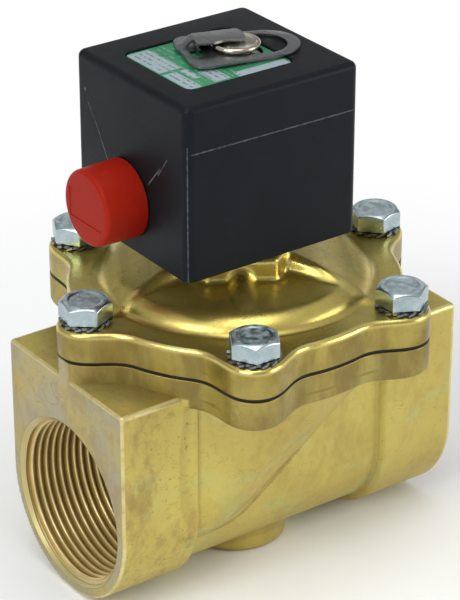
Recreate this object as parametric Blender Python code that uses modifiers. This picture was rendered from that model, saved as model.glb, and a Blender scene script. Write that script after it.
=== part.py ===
"""Pilot-operated two-way solenoid valve with threaded pipe ends.

Frame: metres, +Z up, +X along the flow from inlet to outlet. The origin lies under the centre
of the body, on the plane that the pipe ends and the bottom boss rest on.
"""
import math

import bmesh
import bpy
import numpy as np
from mathutils import Matrix, Vector

# Clearances
GAP = 0.0003
CLAMP_GAP = 0.0002
CUT_MARGIN = 0.001
UNION_SINK = 0.0015

# Body: pipe ends, waist and bowl
THREAD_MINOR = 0.04485
THREAD_MAJOR = 0.0478
THREAD_PITCH = 0.002309
PORT_MOUTH = 0.0494
PORT_WALL = 0.0053
THREAD_DEPTH = 0.024
BODY_LENGTH = 0.113
BLOCK_LENGTH = 0.0249
BLOCK_RISE = 0.0389
BLOCK_CORNER = 0.0012
WAIST_SETBACK = 0.0023
PASSAGE_RADIUS = 0.0195
BOWL_FOOT_RADIUS = 0.026
BOWL_FOOT_HEIGHT = 0.020
BOWL_LEAN = 0.030
BOWL_WALL = 0.0065
BOWL_FLARE = 0.62
BOSS_RADIUS = 0.0144

# Bolted joint between body and bonnet
BOLT_COUNT = 6
BOLT_CIRCLE = 0.049
LOBE_RADIUS = 0.008
RIM_SETBACK = 0.0026
RIM_FILLET = 0.009
FACE_RISE = 0.0055
BODY_FLANGE = 0.0087
BONNET_FLANGE = 0.0084
FLANGE_EDGE = 0.0012
BOLT_RADIUS = 0.00397
BOLT_ENGAGEMENT = 0.0065
HEAD_FLATS = 0.0127
HEAD_HEIGHT = 0.0052
HEAD_DISH_RADIUS = 0.0047
HEAD_DISH_DEPTH = 0.0009
WASHER_RADIUS = 0.0072
WASHER_THICKNESS = 0.0008
WASHER_TEETH = 12

# Main seat, diaphragm and disc
CLAMP_BAND = 0.0105
SEAT_RADIUS = 0.0165
SEAT_WALL = 0.0038
DIAPHRAGM_RIM = 0.0006
DIAPHRAGM_WEB = 0.0010
WEB_FLAT_RADIUS = 0.0235
SEAL_THICKNESS = 0.0030
SEAL_OVERLAP = 0.0024
LOWER_PLATE = 0.0020
UPPER_PLATE = 0.0015
PLATE_RADIUS = 0.0210
STEM_RADIUS = 0.0038
STEM_HEAD_RADIUS = 0.0075
STEM_HEAD = 0.0022
STEM_NUT_FLATS = 0.013
STEM_NUT = 0.0040
MAIN_LIFT = 0.0070
MAIN_WIRE = 0.0012
MAIN_SPRING_FOOT = 0.0150
MAIN_SPRING_HEAD = 0.0105
MAIN_SPRING_CURLS = 4

# Bonnet
DOME_CLEARANCE = 0.0036
DOME_SHOULDER = 0.0047
DOME_RISE = 0.0045
DOME_WALL = 0.0048
DOME_CROWN = 0.0011
HUB_FLATS = 0.0334
HUB_RISE = 0.0075
HUB_EDGE = 0.0014
BUTTRESS_DEGREES = -30.0
BUTTRESS_CREST_SETBACK = 0.0107
BUTTRESS_FOOT_SETBACK = 0.0037
BUTTRESS_HUB_RISE = 0.0096
BUTTRESS_CREST_RISE = 0.0064
BUTTRESS_HUB_HALF = 0.0135
BUTTRESS_CREST_HALF = 0.0190
RIB_DEGREES = -120.0
RIB_RADIUS = 0.0032
RIB_REACH = 0.0290

# Core tube and core
SHANK_RADIUS = 0.0100
SHANK_LENGTH = 0.0082
TUBE_FLANGE_FLATS = 0.024
TUBE_FLANGE = 0.0024
TUBE_RADIUS = 0.0070
TUBE_WALL = 0.0008
TUBE_CROWN = 0.0180
NECK_RADIUS = 0.0045
KNOB_RADIUS = 0.0068
KNOB_THICKNESS = 0.0014
KNOB_DISH = 0.0004
O_RING_WIRE = 0.0016
NOZZLE_RADIUS = 0.0026
NOZZLE_RISE = 0.0030
NOZZLE_BORE = 0.0011
VENT_RADIUS = 0.0012
CORE_LENGTH = 0.027
CORE_SKIRT = 0.0007
CORE_LIFT = 0.0030
CORE_SEAL_RADIUS = 0.0034
CORE_SEAL = 0.0024
CORE_POCKET_RADIUS = 0.0033
CORE_POCKET = 0.0120
SHADING_RADIUS = 0.0042
SHADING_WIDTH = 0.0012
SHADING_DEPTH = 0.0016
CORE_WIRE = 0.0007
CORE_CURLS = 8

# Coil
SPRING_WASHER_RADIUS = 0.0115
SPRING_WASHER_SHEET = 0.0004
SPRING_WASHER_RISE = 0.0010
COIL_LENGTH = 0.0555
COIL_WIDTH = 0.0516
COIL_HEIGHT = 0.0492
COIL_OFFSET = -0.0061
COIL_CORNER = 0.0024
COIL_EDGE = 0.0019
COIL_WALL = 0.0040
COIL_ROOF = 0.0042
BASE_PLATE = 0.0020
YOKE_SHEET = 0.0020
YOKE_DEPTH = 0.0280
BOBBIN_FLANGE = 0.0015
BOBBIN_WALL = 0.0012
RECESS_LENGTH = 0.0342
RECESS_WIDTH = 0.0308
RECESS_SHIFT = -0.0026
RECESS_DEPTH = 0.0012
RECESS_CORNER = 0.0025
NAMEPLATE = 0.0004

# Clip on the core tube's neck
CLIP_DEGREES = -17.6
CLIP_SHEET = 0.0007
CLIP_TAIL = 0.0148
CLIP_TAIL_HALF = 0.0112
CLIP_CORNER = 0.0040
CLIP_LOOP_RADIUS = 0.0091
CLIP_LOOP_BAND = 0.0035
CLIP_SLOT_LENGTH = 0.0036
CLIP_SLOT_WIDTH = 0.0056
CLIP_LEG_WIDTH = 0.0024
CLIP_RAMP_RUN = 0.0034
CLIP_SHELF_FRONT = -0.0018
CLIP_SHELF_REAR = 0.0057
CLIP_SHELF_END = 0.0029

# Conduit spigot and its cap
SPIGOT_HEIGHT = 0.0148
SPIGOT_SIDE = 0.0020
SPIGOT_RADIUS = 0.0094
SPIGOT_BORE = 0.0075
SPIGOT_LENGTH = 0.0109
SPIGOT_ROOT_RADIUS = 0.0086
CAP_RADIUS = 0.0110
CAP_LENGTH = 0.0130
CAP_DRAFT = 0.0003
CAP_EDGE = 0.0010

# Facet counts
ROUND_STEPS = 26
FINE_STEPS = 36
SMALL_STEPS = 16
CURL_POINTS = 9
EDGE_STEPS = 3

# Heights and radii that follow from the driving dimensions
PORT_RADIUS = THREAD_MINOR / 2 + PORT_WALL
AXIS_Z = PORT_RADIUS
HALF_LENGTH = BODY_LENGTH / 2
BLOCK_INNER = HALF_LENGTH - BLOCK_LENGTH
BLOCK_TOP = AXIS_Z + BLOCK_RISE
BODY_FACE = BLOCK_TOP + FACE_RISE
BODY_FLANGE_BOTTOM = BODY_FACE - BODY_FLANGE
BONNET_FACE = BODY_FACE + DIAPHRAGM_RIM + 2 * CLAMP_GAP
FLANGE_TOP = BONNET_FACE + BONNET_FLANGE
HEAD_SEAT = FLANGE_TOP + WASHER_THICKNESS + 2 * GAP
DOME_TOP = FLANGE_TOP + DOME_RISE
CHAMBER_ROOF = DOME_TOP - DOME_WALL
HUB_TOP = DOME_TOP + HUB_RISE
BOLT_HOLE_RADIUS = BOLT_RADIUS + GAP
RIM_RADIUS = BOLT_CIRCLE - RIM_SETBACK
CHAMBER_RADIUS = BOLT_CIRCLE - CLAMP_BAND
DOME_FOOT_RADIUS = BOLT_CIRCLE - WASHER_RADIUS - DOME_CLEARANCE
DOME_TOP_RADIUS = DOME_FOOT_RADIUS - DOME_SHOULDER
BUTTRESS_CREST_REACH = DOME_FOOT_RADIUS - BUTTRESS_CREST_SETBACK
BUTTRESS_FOOT_REACH = DOME_FOOT_RADIUS - BUTTRESS_FOOT_SETBACK

WEB_BOTTOM = BODY_FACE + CLAMP_GAP - MAIN_LIFT - GAP - DIAPHRAGM_WEB
LOWER_PLATE_BOTTOM = WEB_BOTTOM - GAP - LOWER_PLATE
SEAL_BOTTOM = LOWER_PLATE_BOTTOM - GAP - SEAL_THICKNESS
SEAT_TOP = SEAL_BOTTOM - GAP
UPPER_PLATE_BOTTOM = WEB_BOTTOM + DIAPHRAGM_WEB + GAP
UPPER_PLATE_TOP = UPPER_PLATE_BOTTOM + UPPER_PLATE
STEM_HOLE = STEM_RADIUS + GAP

FLANGE_SEAT = HUB_TOP + GAP
TUBE_FLANGE_TOP = FLANGE_SEAT + TUBE_FLANGE
SHANK_BOTTOM = FLANGE_SEAT - SHANK_LENGTH
BORE_FLOOR = SHANK_BOTTOM - GAP
NOZZLE_TOP = BORE_FLOOR + NOZZLE_RISE
TUBE_BORE = TUBE_RADIUS - TUBE_WALL
CORE_RADIUS = TUBE_BORE - GAP
O_RING_RADIUS = SHANK_RADIUS + GAP + O_RING_WIRE / 2
O_RING_POCKET_RADIUS = SHANK_RADIUS + 2 * GAP + O_RING_WIRE
O_RING_POCKET_FLOOR = HUB_TOP - O_RING_WIRE - GAP

SPRING_WASHER_BOTTOM = TUBE_FLANGE_TOP + GAP
COIL_BOTTOM = SPRING_WASHER_BOTTOM + SPRING_WASHER_SHEET + SPRING_WASHER_RISE + GAP
COIL_TOP = COIL_BOTTOM + COIL_HEIGHT
COIL_BORE = TUBE_RADIUS + GAP
COIL_INLET_FACE = COIL_OFFSET - COIL_LENGTH / 2
CAVITY_TOP = COIL_TOP - COIL_ROOF
CAVITY_LENGTH = COIL_LENGTH - 2 * COIL_WALL
CAVITY_WIDTH = COIL_WIDTH - 2 * COIL_WALL
BASE_PLATE_TOP = COIL_BOTTOM + BASE_PLATE
YOKE_TOP = CAVITY_TOP - GAP
BOBBIN_BOTTOM = BASE_PLATE_TOP + GAP
BOBBIN_TOP = YOKE_TOP - YOKE_SHEET - GAP
BOBBIN_RADIUS = COIL_OFFSET + CAVITY_LENGTH / 2 - GAP
WINDING_RADIUS = BOBBIN_RADIUS - BOBBIN_WALL
RECESS_FLOOR = COIL_TOP - RECESS_DEPTH

CLIP_BOTTOM = COIL_TOP + GAP
CLIP_TOP = CLIP_BOTTOM + CLIP_SHEET
KNOB_BOTTOM = CLIP_TOP + GAP
KNOB_TOP = KNOB_BOTTOM + KNOB_THICKNESS
CLIP_HOLE_RADIUS = KNOB_RADIUS + GAP
CLIP_TRAVEL = CLIP_HOLE_RADIUS
CLIP_SHELF_BOTTOM = KNOB_TOP + GAP
CLIP_LEG_REAR = CLIP_SHELF_FRONT + CLIP_SHEET + CLIP_LEG_WIDTH
CLIP_TIP = CLIP_TRAVEL + CLIP_HOLE_RADIUS + CLIP_LOOP_BAND
TUBE_TOP = COIL_TOP - RECESS_DEPTH
CROWN_BOTTOM = TUBE_TOP - TUBE_CROWN
STOP_TOP = CROWN_BOTTOM - GAP
CORE_BOTTOM = NOZZLE_TOP - CORE_SKIRT
CORE_TOP = CORE_BOTTOM + CORE_LENGTH
STOP_BOTTOM = CORE_TOP + CORE_LIFT + GAP
SPIGOT_Z = COIL_BOTTOM + SPIGOT_HEIGHT

FINISHES = {
    "cast_brass": ((0.60, 0.44, 0.16), 0.38, 1.0),
    "polished_brass": ((0.66, 0.50, 0.18), 0.25, 1.0),
    "zinc_plate": ((0.66, 0.70, 0.74), 0.28, 1.0),
    "stainless": ((0.62, 0.61, 0.58), 0.30, 1.0),
    "spring_steel": ((0.50, 0.49, 0.47), 0.35, 1.0),
    "soft_iron": ((0.40, 0.40, 0.41), 0.45, 1.0),
    "copper": ((0.72, 0.36, 0.20), 0.35, 1.0),
    "black_rubber": ((0.02, 0.02, 0.02), 0.80, 0.0),
    "black_coating": ((0.03, 0.032, 0.036), 0.50, 0.0),
    "bobbin_plastic": ((0.72, 0.70, 0.64), 0.55, 0.0),
    "red_plastic": ((0.52, 0.04, 0.03), 0.45, 0.0),
    "printed_plate": ((0.12, 0.36, 0.22), 0.40, 0.0),
}


def clear_scene():
    """Remove every object that the scene already holds."""
    for item in list(bpy.data.objects):
        bpy.data.objects.remove(item, do_unlink=True)


def new_collection(name):
    """Make a collection in the scene."""
    group = bpy.data.collections.new(name)
    bpy.context.scene.collection.children.link(group)
    return group


clear_scene()
PARTS = new_collection("solenoid_valve")
CUTTERS = new_collection("solenoid_valve_cutters")


def finish(name):
    """Return the material of one finish, made on first use."""
    material = bpy.data.materials.get(name)
    if material:
        return material
    colour, roughness, metallic = FINISHES[name]
    material = bpy.data.materials.new(name)
    material.use_nodes = True
    shader = material.node_tree.nodes["Principled BSDF"]
    shader.inputs["Base Color"].default_value = (*colour, 1.0)
    shader.inputs["Roughness"].default_value = roughness
    shader.inputs["Metallic"].default_value = metallic
    material.diffuse_color = (*colour, 1.0)
    return material


def add_object(name, mesh, look=None):
    """Link a mesh as a sub-part with a finish, or as a hidden tool without one."""
    item = bpy.data.objects.new(name, mesh)
    if look:
        mesh.materials.append(finish(look))
        PARTS.objects.link(item)
    else:
        item.hide_render = True
        item.display_type = "WIRE"
        CUTTERS.objects.link(item)
    return item


def mesh_from(bm, name):
    """Turn a bmesh into a mesh and free it."""
    mesh = bpy.data.meshes.new(name)
    bm.to_mesh(mesh)
    bm.free()
    return mesh


def turned(name, outline, look=None, steps=ROUND_STEPS):
    """Revolve an (r, z) outline about Z.

    The outline runs down the outer side. It starts and ends on the axis, or it is a closed ring.
    """
    bm = bmesh.new()
    points = [bm.verts.new((radius, 0.0, height)) for radius, height in outline]
    for first, second in zip(points, points[1:]):
        bm.edges.new((first, second))
    if outline[0][0] > 0:
        bm.edges.new((points[-1], points[0]))
    item = add_object(name, mesh_from(bm, name), look)
    screw = item.modifiers.new("revolve", "SCREW")
    screw.angle = math.tau
    screw.steps = steps
    screw.render_steps = steps
    screw.use_merge_vertices = True
    screw.merge_threshold = 0.000001
    screw.use_smooth_shade = True
    return item


def frozen_mesh(item, name):
    """Copy an object's evaluated shape into a welded mesh, then remove the object."""
    bpy.context.view_layer.update()
    evaluated = item.evaluated_get(bpy.context.evaluated_depsgraph_get())
    mesh = bpy.data.meshes.new_from_object(evaluated)
    mesh.name = name
    mesh.transform(item.matrix_world)
    bpy.data.objects.remove(item, do_unlink=True)
    bm = bmesh.new()
    bm.from_mesh(mesh)
    bmesh.ops.remove_doubles(bm, verts=bm.verts, dist=0.000001)
    bmesh.ops.recalc_face_normals(bm, faces=bm.faces)
    bm.to_mesh(mesh)
    bm.free()
    mesh.materials.clear()
    return mesh


def plate_mesh(name, loops, bottom, top):
    """Extrude flat outlines between two heights: the first is the edge, the rest are holes."""
    curve = bpy.data.curves.new(name, "CURVE")
    curve.dimensions = "2D"
    curve.fill_mode = "BOTH"
    curve.extrude = (top - bottom) / 2
    for loop in loops:
        spline = curve.splines.new("POLY")
        spline.points.add(len(loop) - 1)
        spline.use_cyclic_u = True
        for point, (x, y) in zip(spline.points, loop):
            point.co = (x, y, 0.0, 1.0)
    item = bpy.data.objects.new(name, curve)
    item.location.z = (top + bottom) / 2
    CUTTERS.objects.link(item)
    return frozen_mesh(item, name)


def plate(name, loops, bottom, top, look=None):
    """Add a flat extruded piece."""
    return add_object(name, plate_mesh(name, loops, bottom, top), look)


def skinned(name, rings):
    """Closed mesh over rings of points that share one count, with a flat cap at each end."""
    bm = bmesh.new()
    loops = [[bm.verts.new(point) for point in ring] for ring in rings]
    for loop, following in zip(loops, loops[1:]):
        for index in range(len(loop)):
            ahead = (index + 1) % len(loop)
            bm.faces.new((loop[index], loop[ahead], following[ahead], following[index]))
    bm.faces.new(loops[0][::-1])
    bm.faces.new(loops[-1])
    bmesh.ops.recalc_face_normals(bm, faces=bm.faces)
    return mesh_from(bm, name)


def eased_slab(name, outline, bottom, top, top_ease, bottom_ease=0.0):
    """Slab with rounded top and bottom edges; outline takes an inset and gives (x, y) points."""
    layers = []
    for edge, ease, inwards in ((bottom, bottom_ease, 1), (top, top_ease, -1)):
        turns = np.linspace(0.0, math.pi / 2, EDGE_STEPS) if ease else [0.0]
        rounded = [(edge + inwards * ease * (1 - math.cos(t)), ease * (1 - math.sin(t))) for t in turns]
        layers += rounded if inwards > 0 else rounded[::-1]
    return skinned(name, [[(x, y, z) for x, y in outline(inset)] for z, inset in layers])


def combine(target, operation, tool):
    """Join, cut or intersect a piece with a tool."""
    modifier = target.modifiers.new(tool.name, "BOOLEAN")
    modifier.operation = operation
    modifier.object = tool
    modifier.solver = "EXACT"


def arc(centre, radius, start, end, steps):
    """Points of an arc between two angles in radians, both ends included."""
    angles = np.linspace(start, end, steps + 1)
    return [(centre[0] + radius * math.cos(a), centre[1] + radius * math.sin(a)) for a in angles]


def circle(radius, steps=ROUND_STEPS, centre=(0.0, 0.0)):
    """Points of a full circle."""
    return arc(centre, radius, 0.0, math.tau, steps)[:-1]


def rounded_rectangle(length, width, corner, centre=(0.0, 0.0), steps=4):
    """Points of a rectangle with round corners."""
    points = []
    for quarter, (side_x, side_y) in enumerate(((1, 1), (-1, 1), (-1, -1), (1, -1))):
        middle = (
            centre[0] + side_x * (length / 2 - corner),
            centre[1] + side_y * (width / 2 - corner),
        )
        start = quarter * math.pi / 2
        points += arc(middle, corner, start, start + math.pi / 2, steps)
    return points


def hexagon(flats, turn=0.0):
    """Corners of a hexagon, with one flat facing the given angle."""
    first = turn + math.radians(30)
    return arc((0.0, 0.0), flats / math.sqrt(3), first, first + math.tau, 6)[:-1]


def band_outline(path, thickness):
    """Closed (r, z) outline of a sheet that follows a path from its inner to its outer end."""
    points = [Vector(point) for point in path]
    upper, lower = [], []
    for index, point in enumerate(points):
        ahead = points[min(index + 1, len(points) - 1)] - points[max(index - 1, 0)]
        normal = Vector((-ahead.y, ahead.x)).normalized() * thickness / 2
        upper.append(tuple(point + normal))
        lower.append(tuple(point - normal))
    return upper + lower[::-1]


def bolt_angles():
    """Angles of the bolts, the first on the outlet side of the flow axis."""
    return [math.tau * k / BOLT_COUNT for k in range(BOLT_COUNT)]


def lobed_outline(inset=0.0):
    """Outline of the bolted flanges: a round rim with a filleted lobe at each bolt."""
    fillet_reach = RIM_RADIUS + RIM_FILLET
    spread = LOBE_RADIUS + RIM_FILLET
    cosine = (BOLT_CIRCLE**2 + fillet_reach**2 - spread**2) / (2 * BOLT_CIRCLE * fillet_reach)
    swing = math.acos(cosine)
    fillet = Vector((fillet_reach * math.cos(swing), fillet_reach * math.sin(swing)))
    lean = math.atan2(fillet.y, fillet.x - BOLT_CIRCLE)
    lobe = arc((BOLT_CIRCLE, 0.0), LOBE_RADIUS - inset, -lean, lean, SMALL_STEPS // 2)
    leaving = arc(fillet, RIM_FILLET + inset, lean + math.pi, swing + math.pi, EDGE_STEPS)[1:]
    pitch = math.tau / BOLT_COUNT
    rim = arc((0.0, 0.0), RIM_RADIUS - inset, swing, pitch - swing, EDGE_STEPS)[1:-1]
    arriving = [(x, -y) for x, y in reversed(leaving)]
    points = []
    for angle in bolt_angles():
        turn = Matrix.Rotation(angle, 2)
        points += [tuple(turn @ Vector(point)) for point in arriving + lobe + leaving + rim]
    return points


def bolt_centres():
    """Places of the bolts on their circle."""
    return [(BOLT_CIRCLE * math.cos(angle), BOLT_CIRCLE * math.sin(angle)) for angle in bolt_angles()]


def lobed_loops():
    """Lobed edge and bolt holes of a flange."""
    return [lobed_outline()] + [circle(BOLT_HOLE_RADIUS, SMALL_STEPS, centre) for centre in bolt_centres()]


def bolt_holes(name, bottom, top):
    """Cutter with one round hole at each bolt."""
    bm = bmesh.new()
    for x, y in bolt_centres():
        place = Matrix.Translation((x, y, (bottom + top) / 2))
        bmesh.ops.create_cone(
            bm, cap_ends=True, segments=SMALL_STEPS, radius1=BOLT_HOLE_RADIUS,
            radius2=BOLT_HOLE_RADIUS, depth=top - bottom, matrix=place,
        )
    return add_object(name, mesh_from(bm, name))


def slant_cone(name, foot_radius, foot_z, top_radius, top_z):
    """Cone between a round top on the valve axis and a round foot that leans to the inlet."""
    bm = bmesh.new()
    bmesh.ops.create_cone(
        bm, cap_ends=True, segments=FINE_STEPS, radius1=foot_radius, radius2=top_radius,
        depth=top_z - foot_z, matrix=Matrix.Translation((0.0, 0.0, (foot_z + top_z) / 2)),
    )
    for vert in bm.verts:
        vert.co.x -= BOWL_LEAN * (top_z - vert.co.z) / (top_z - foot_z)
    return add_object(name, mesh_from(bm, name))


def bowl_form(top_radius, top_z):
    """Outside of the bowl: a leaning cone whose sides start flush with the inlet block and flare out."""
    bowl = slant_cone("bowl", BOWL_FOOT_RADIUS, BOWL_FOOT_HEIGHT, top_radius, top_z)
    start = PORT_RADIUS - WAIST_SETBACK / 4
    end = start + BOWL_FLARE * (BLOCK_INNER + top_radius)
    outline = [(-HALF_LENGTH, -start), (-BLOCK_INNER, -start), (top_radius, -end)]
    outline += [(x, -y) for x, y in reversed(outline)]
    combine(bowl, "INTERSECT", plate("bowl_sides", [outline], 0.0, BODY_FACE))
    return bowl


def u_outline(setback):
    """Section of the body across the flow: flat top, straight sides and a round bottom."""
    half = PORT_RADIUS - setback
    corner = BLOCK_CORNER
    top = BLOCK_TOP - setback
    right = arc((half - corner, top - corner), corner, 0.0, math.pi / 2, 3)
    left = arc((corner - half, top - corner), corner, math.pi / 2, math.pi, 3)
    return right + left + arc((0.0, AXIS_Z), half, math.pi, math.tau, FINE_STEPS // 2)


def along_x(name, outline, start, end):
    """Mesh of a (y, z) outline extruded along X."""
    mesh = plate_mesh(name, [outline], start, end)
    mesh.transform(Matrix(((0, 0, 1, 0), (1, 0, 0, 0), (0, 1, 0, 0), (0, 0, 0, 1))))
    return mesh


def pipe_run_rings():
    """Rings along the pipe ends and the waist: each block eases into the waist by an S-curve."""
    half = [(HALF_LENGTH, 0.0)]
    for share in np.linspace(0.0, 1.0, 5):
        ease = WAIST_SETBACK * (1 - math.cos(math.pi * share)) / 2
        half.append((BLOCK_INNER + WAIST_SETBACK * (0.5 - share), ease))
    places = [(-x, setback) for x, setback in half] + half[::-1]
    return [[(x, y, z) for y, z in u_outline(setback)] for x, setback in places]


def face_port(item, side):
    """Turn a cutter that was made about Z onto the flow axis, with its top towards one pipe end."""
    item.location.z = AXIS_Z
    item.rotation_euler.y = side * math.pi / 2


def thread_cutter(name, side):
    """Plug with a right-hand helical thread, closed by a ramp at each end, that cuts one port."""
    turns = math.ceil(THREAD_DEPTH / THREAD_PITCH)
    start = HALF_LENGTH - (turns - 0.5) * THREAD_PITCH
    bm = bmesh.new()

    def helix(radius, foot, curls):
        points = []
        for k in range(curls * ROUND_STEPS + 1):
            angle = math.tau * k / ROUND_STEPS
            height = foot + THREAD_PITCH * k / ROUND_STEPS
            points.append(bm.verts.new((radius * math.cos(angle), radius * math.sin(angle), height)))
        return points

    crests = helix(THREAD_MINOR / 2, start, turns + 1)
    roots = helix(THREAD_MAJOR / 2, start + THREAD_PITCH / 2, turns)
    for k in range(turns * ROUND_STEPS):
        bm.faces.new((crests[k], crests[k + 1], roots[k + 1], roots[k]))
        above = k + ROUND_STEPS
        bm.faces.new((roots[k], roots[k + 1], crests[above + 1], crests[above]))
    ends = (
        (crests[:ROUND_STEPS + 1] + roots[:1], crests[0].co.z),
        (crests[-ROUND_STEPS - 1:] + roots[-1:], crests[-1].co.z),
    )
    for rim, height in ends:
        middle = bm.verts.new((0.0, 0.0, height))
        for first, second in zip(rim, rim[1:] + rim[:1]):
            bm.faces.new((middle, first, second))
    bmesh.ops.recalc_face_normals(bm, faces=bm.faces)
    item = add_object(name, mesh_from(bm, name))
    face_port(item, side)
    return item


def port_cutter(name, side, passage_end):
    """Chamfered mouth and inner passage of one pipe end, turned about the flow axis."""
    bore = THREAD_MINOR / 2 - GAP
    mouth = PORT_MOUTH / 2
    thread_end = HALF_LENGTH - THREAD_DEPTH
    item = turned(
        name,
        [
            (0.0, HALF_LENGTH + CUT_MARGIN),
            (mouth + CUT_MARGIN, HALF_LENGTH + CUT_MARGIN),
            (bore, HALF_LENGTH - (mouth - bore)),
            (bore, thread_end),
            (PASSAGE_RADIUS, thread_end - (bore - PASSAGE_RADIUS)),
            (PASSAGE_RADIUS, passage_end),
            (0.0, passage_end),
        ],
        steps=FINE_STEPS,
    )
    face_port(item, side)
    return item


def end_trim(name, side):
    """Cutter that faces the cast lobe off flush with one pipe end."""
    depth = BOLT_CIRCLE + LOBE_RADIUS
    start, end = sorted((side * HALF_LENGTH, side * (HALF_LENGTH + depth)))
    outline = rounded_rectangle(2 * depth, 2 * BODY_FACE, BLOCK_CORNER, (0.0, BODY_FACE))
    return add_object(name, along_x(name, outline, start, end))


def valve_body():
    """Cast body with two pipe ends, a slanted inlet bowl and a raised seat over the outlet."""
    body = add_object("valve_body", skinned("valve_body", pipe_run_rings()), "cast_brass")
    flange = add_object("body_flange", eased_slab(
        "body_flange", lobed_outline, BODY_FLANGE_BOTTOM, BODY_FACE, 0.0, FLANGE_EDGE,
    ))
    bowl_top = BODY_FLANGE_BOTTOM + UNION_SINK
    bowl_rim = RIM_RADIUS - FLANGE_EDGE - GAP
    seat_wall = SEAT_RADIUS + SEAT_WALL
    chamber_foot = BOWL_FOOT_HEIGHT + BOWL_WALL
    for tool in (
        bowl_form(bowl_rim, bowl_top),
        flange,
        turned("bottom_boss", [(0, AXIS_Z), (BOSS_RADIUS, AXIS_Z), (BOSS_RADIUS, 0.0), (0, 0.0)]),
    ):
        combine(body, "UNION", tool)
    chamber_neck = turned("chamber_neck", [
        (0, BODY_FACE + CUT_MARGIN),
        (CHAMBER_RADIUS, BODY_FACE + CUT_MARGIN),
        (CHAMBER_RADIUS, BODY_FLANGE_BOTTOM - UNION_SINK),
        (0, BODY_FLANGE_BOTTOM - UNION_SINK),
    ], steps=FINE_STEPS)
    chamber_top = CHAMBER_RADIUS - BLOCK_CORNER
    chamber = slant_cone(
        "chamber", PASSAGE_RADIUS - BOWL_WALL / 2, chamber_foot, chamber_top, BODY_FLANGE_BOTTOM,
    )
    inlet_end = seat_wall + BOWL_WALL / 2
    for tool in (
        chamber_neck,
        chamber,
        port_cutter("inlet_port", -1, inlet_end),
        thread_cutter("inlet_thread", -1),
        end_trim("inlet_facing", -1),
        end_trim("outlet_facing", 1),
    ):
        combine(body, "DIFFERENCE", tool)
    combine(body, "UNION", turned("seat_column", [
        (0, SEAT_TOP),
        (seat_wall - BLOCK_CORNER, SEAT_TOP),
        (seat_wall, SEAT_TOP - BLOCK_CORNER),
        (seat_wall, AXIS_Z - PASSAGE_RADIUS / 2),
        (0, AXIS_Z - PASSAGE_RADIUS / 2),
    ]))
    for tool in (
        turned("seat_bore", [
            (0, SEAT_TOP + CUT_MARGIN),
            (SEAT_RADIUS, SEAT_TOP + CUT_MARGIN),
            (SEAT_RADIUS, AXIS_Z),
            (0, AXIS_Z - SEAT_RADIUS / 2),
        ]),
        port_cutter("outlet_port", 1, -SEAT_WALL),
        thread_cutter("outlet_thread", 1),
        bolt_holes("body_bolt_holes", BODY_FACE - BOLT_ENGAGEMENT - 2 * GAP, BODY_FACE + CUT_MARGIN),
    ):
        combine(body, "DIFFERENCE", tool)
    return body


def dome():
    """Round raised roof of the bonnet, with a soft shoulder and a slight rise to the hub."""
    bend = DOME_SHOULDER * 0.6
    rounding = arc((DOME_TOP_RADIUS, DOME_TOP - bend), bend, math.pi / 2, math.radians(20), 4)
    return turned("dome", [
        (0, DOME_TOP + DOME_CROWN),
        (HUB_FLATS / 2, DOME_TOP + DOME_CROWN),
        *rounding,
        (DOME_FOOT_RADIUS, FLANGE_TOP),
        (DOME_FOOT_RADIUS, FLANGE_TOP - UNION_SINK),
        (0, FLANGE_TOP - UNION_SINK),
    ], steps=FINE_STEPS)


def buttress(name, degrees):
    """Wedge that runs from the hub out to the flange, wider towards its foot."""
    hub = HUB_FLATS / 2
    start = hub - UNION_SINK
    slope = (BUTTRESS_HUB_RISE - BUTTRESS_CREST_RISE) / (BUTTRESS_CREST_REACH - hub)
    start_rise = BUTTRESS_HUB_RISE + slope * (hub - start)
    foot = Vector((BUTTRESS_FOOT_REACH, FLANGE_TOP))
    crest = Vector((BUTTRESS_CREST_REACH, FLANGE_TOP + BUTTRESS_CREST_RISE))
    heel = Vector((start, FLANGE_TOP + start_rise))
    bend = [crest.lerp(foot, 0.5), crest, crest.lerp(heel, 0.4)]
    rounding = [
        tuple(bend[0].lerp(bend[1], share).lerp(bend[1].lerp(bend[2], share), share))
        for share in np.linspace(0.0, 1.0, 6)
    ]
    side = [
        (start, FLANGE_TOP - UNION_SINK),
        tuple(crest.lerp(foot, 1 + UNION_SINK / BUTTRESS_CREST_RISE)),
        *rounding,
        tuple(heel),
    ]
    mesh = plate_mesh(name, [side], -BUTTRESS_CREST_HALF, BUTTRESS_CREST_HALF)
    mesh.transform(Matrix.Rotation(math.pi / 2, 4, "X"))
    flare = (BUTTRESS_CREST_HALF - BUTTRESS_HUB_HALF) / (BUTTRESS_CREST_REACH - hub)
    for vert in mesh.vertices:
        half = BUTTRESS_HUB_HALF + flare * (vert.co.x - hub)
        vert.co.y *= half / BUTTRESS_CREST_HALF
    mesh.transform(Matrix.Rotation(math.radians(degrees), 4, "Z"))
    return add_object(name, mesh)


def hub_rib():
    """Half-round rib that runs down from the hub onto the dome."""
    inner = Vector((HUB_FLATS / 4, 0.0, HUB_TOP - HUB_RISE / 2))
    outer = Vector((RIB_REACH, 0.0, DOME_TOP - RIB_RADIUS))
    run = outer - inner
    bm = bmesh.new()
    bmesh.ops.create_cone(
        bm, cap_ends=True, segments=SMALL_STEPS, radius1=RIB_RADIUS, radius2=RIB_RADIUS, depth=run.length,
    )
    place = Matrix.Translation((inner + outer) / 2) @ run.to_track_quat("Z", "Y").to_matrix().to_4x4()
    bmesh.ops.transform(bm, matrix=place, verts=bm.verts)
    turn = Matrix.Rotation(math.radians(RIB_DEGREES), 4, "Z")
    bmesh.ops.transform(bm, matrix=turn, verts=bm.verts)
    return add_object("hub_rib", mesh_from(bm, "hub_rib"))


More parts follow.
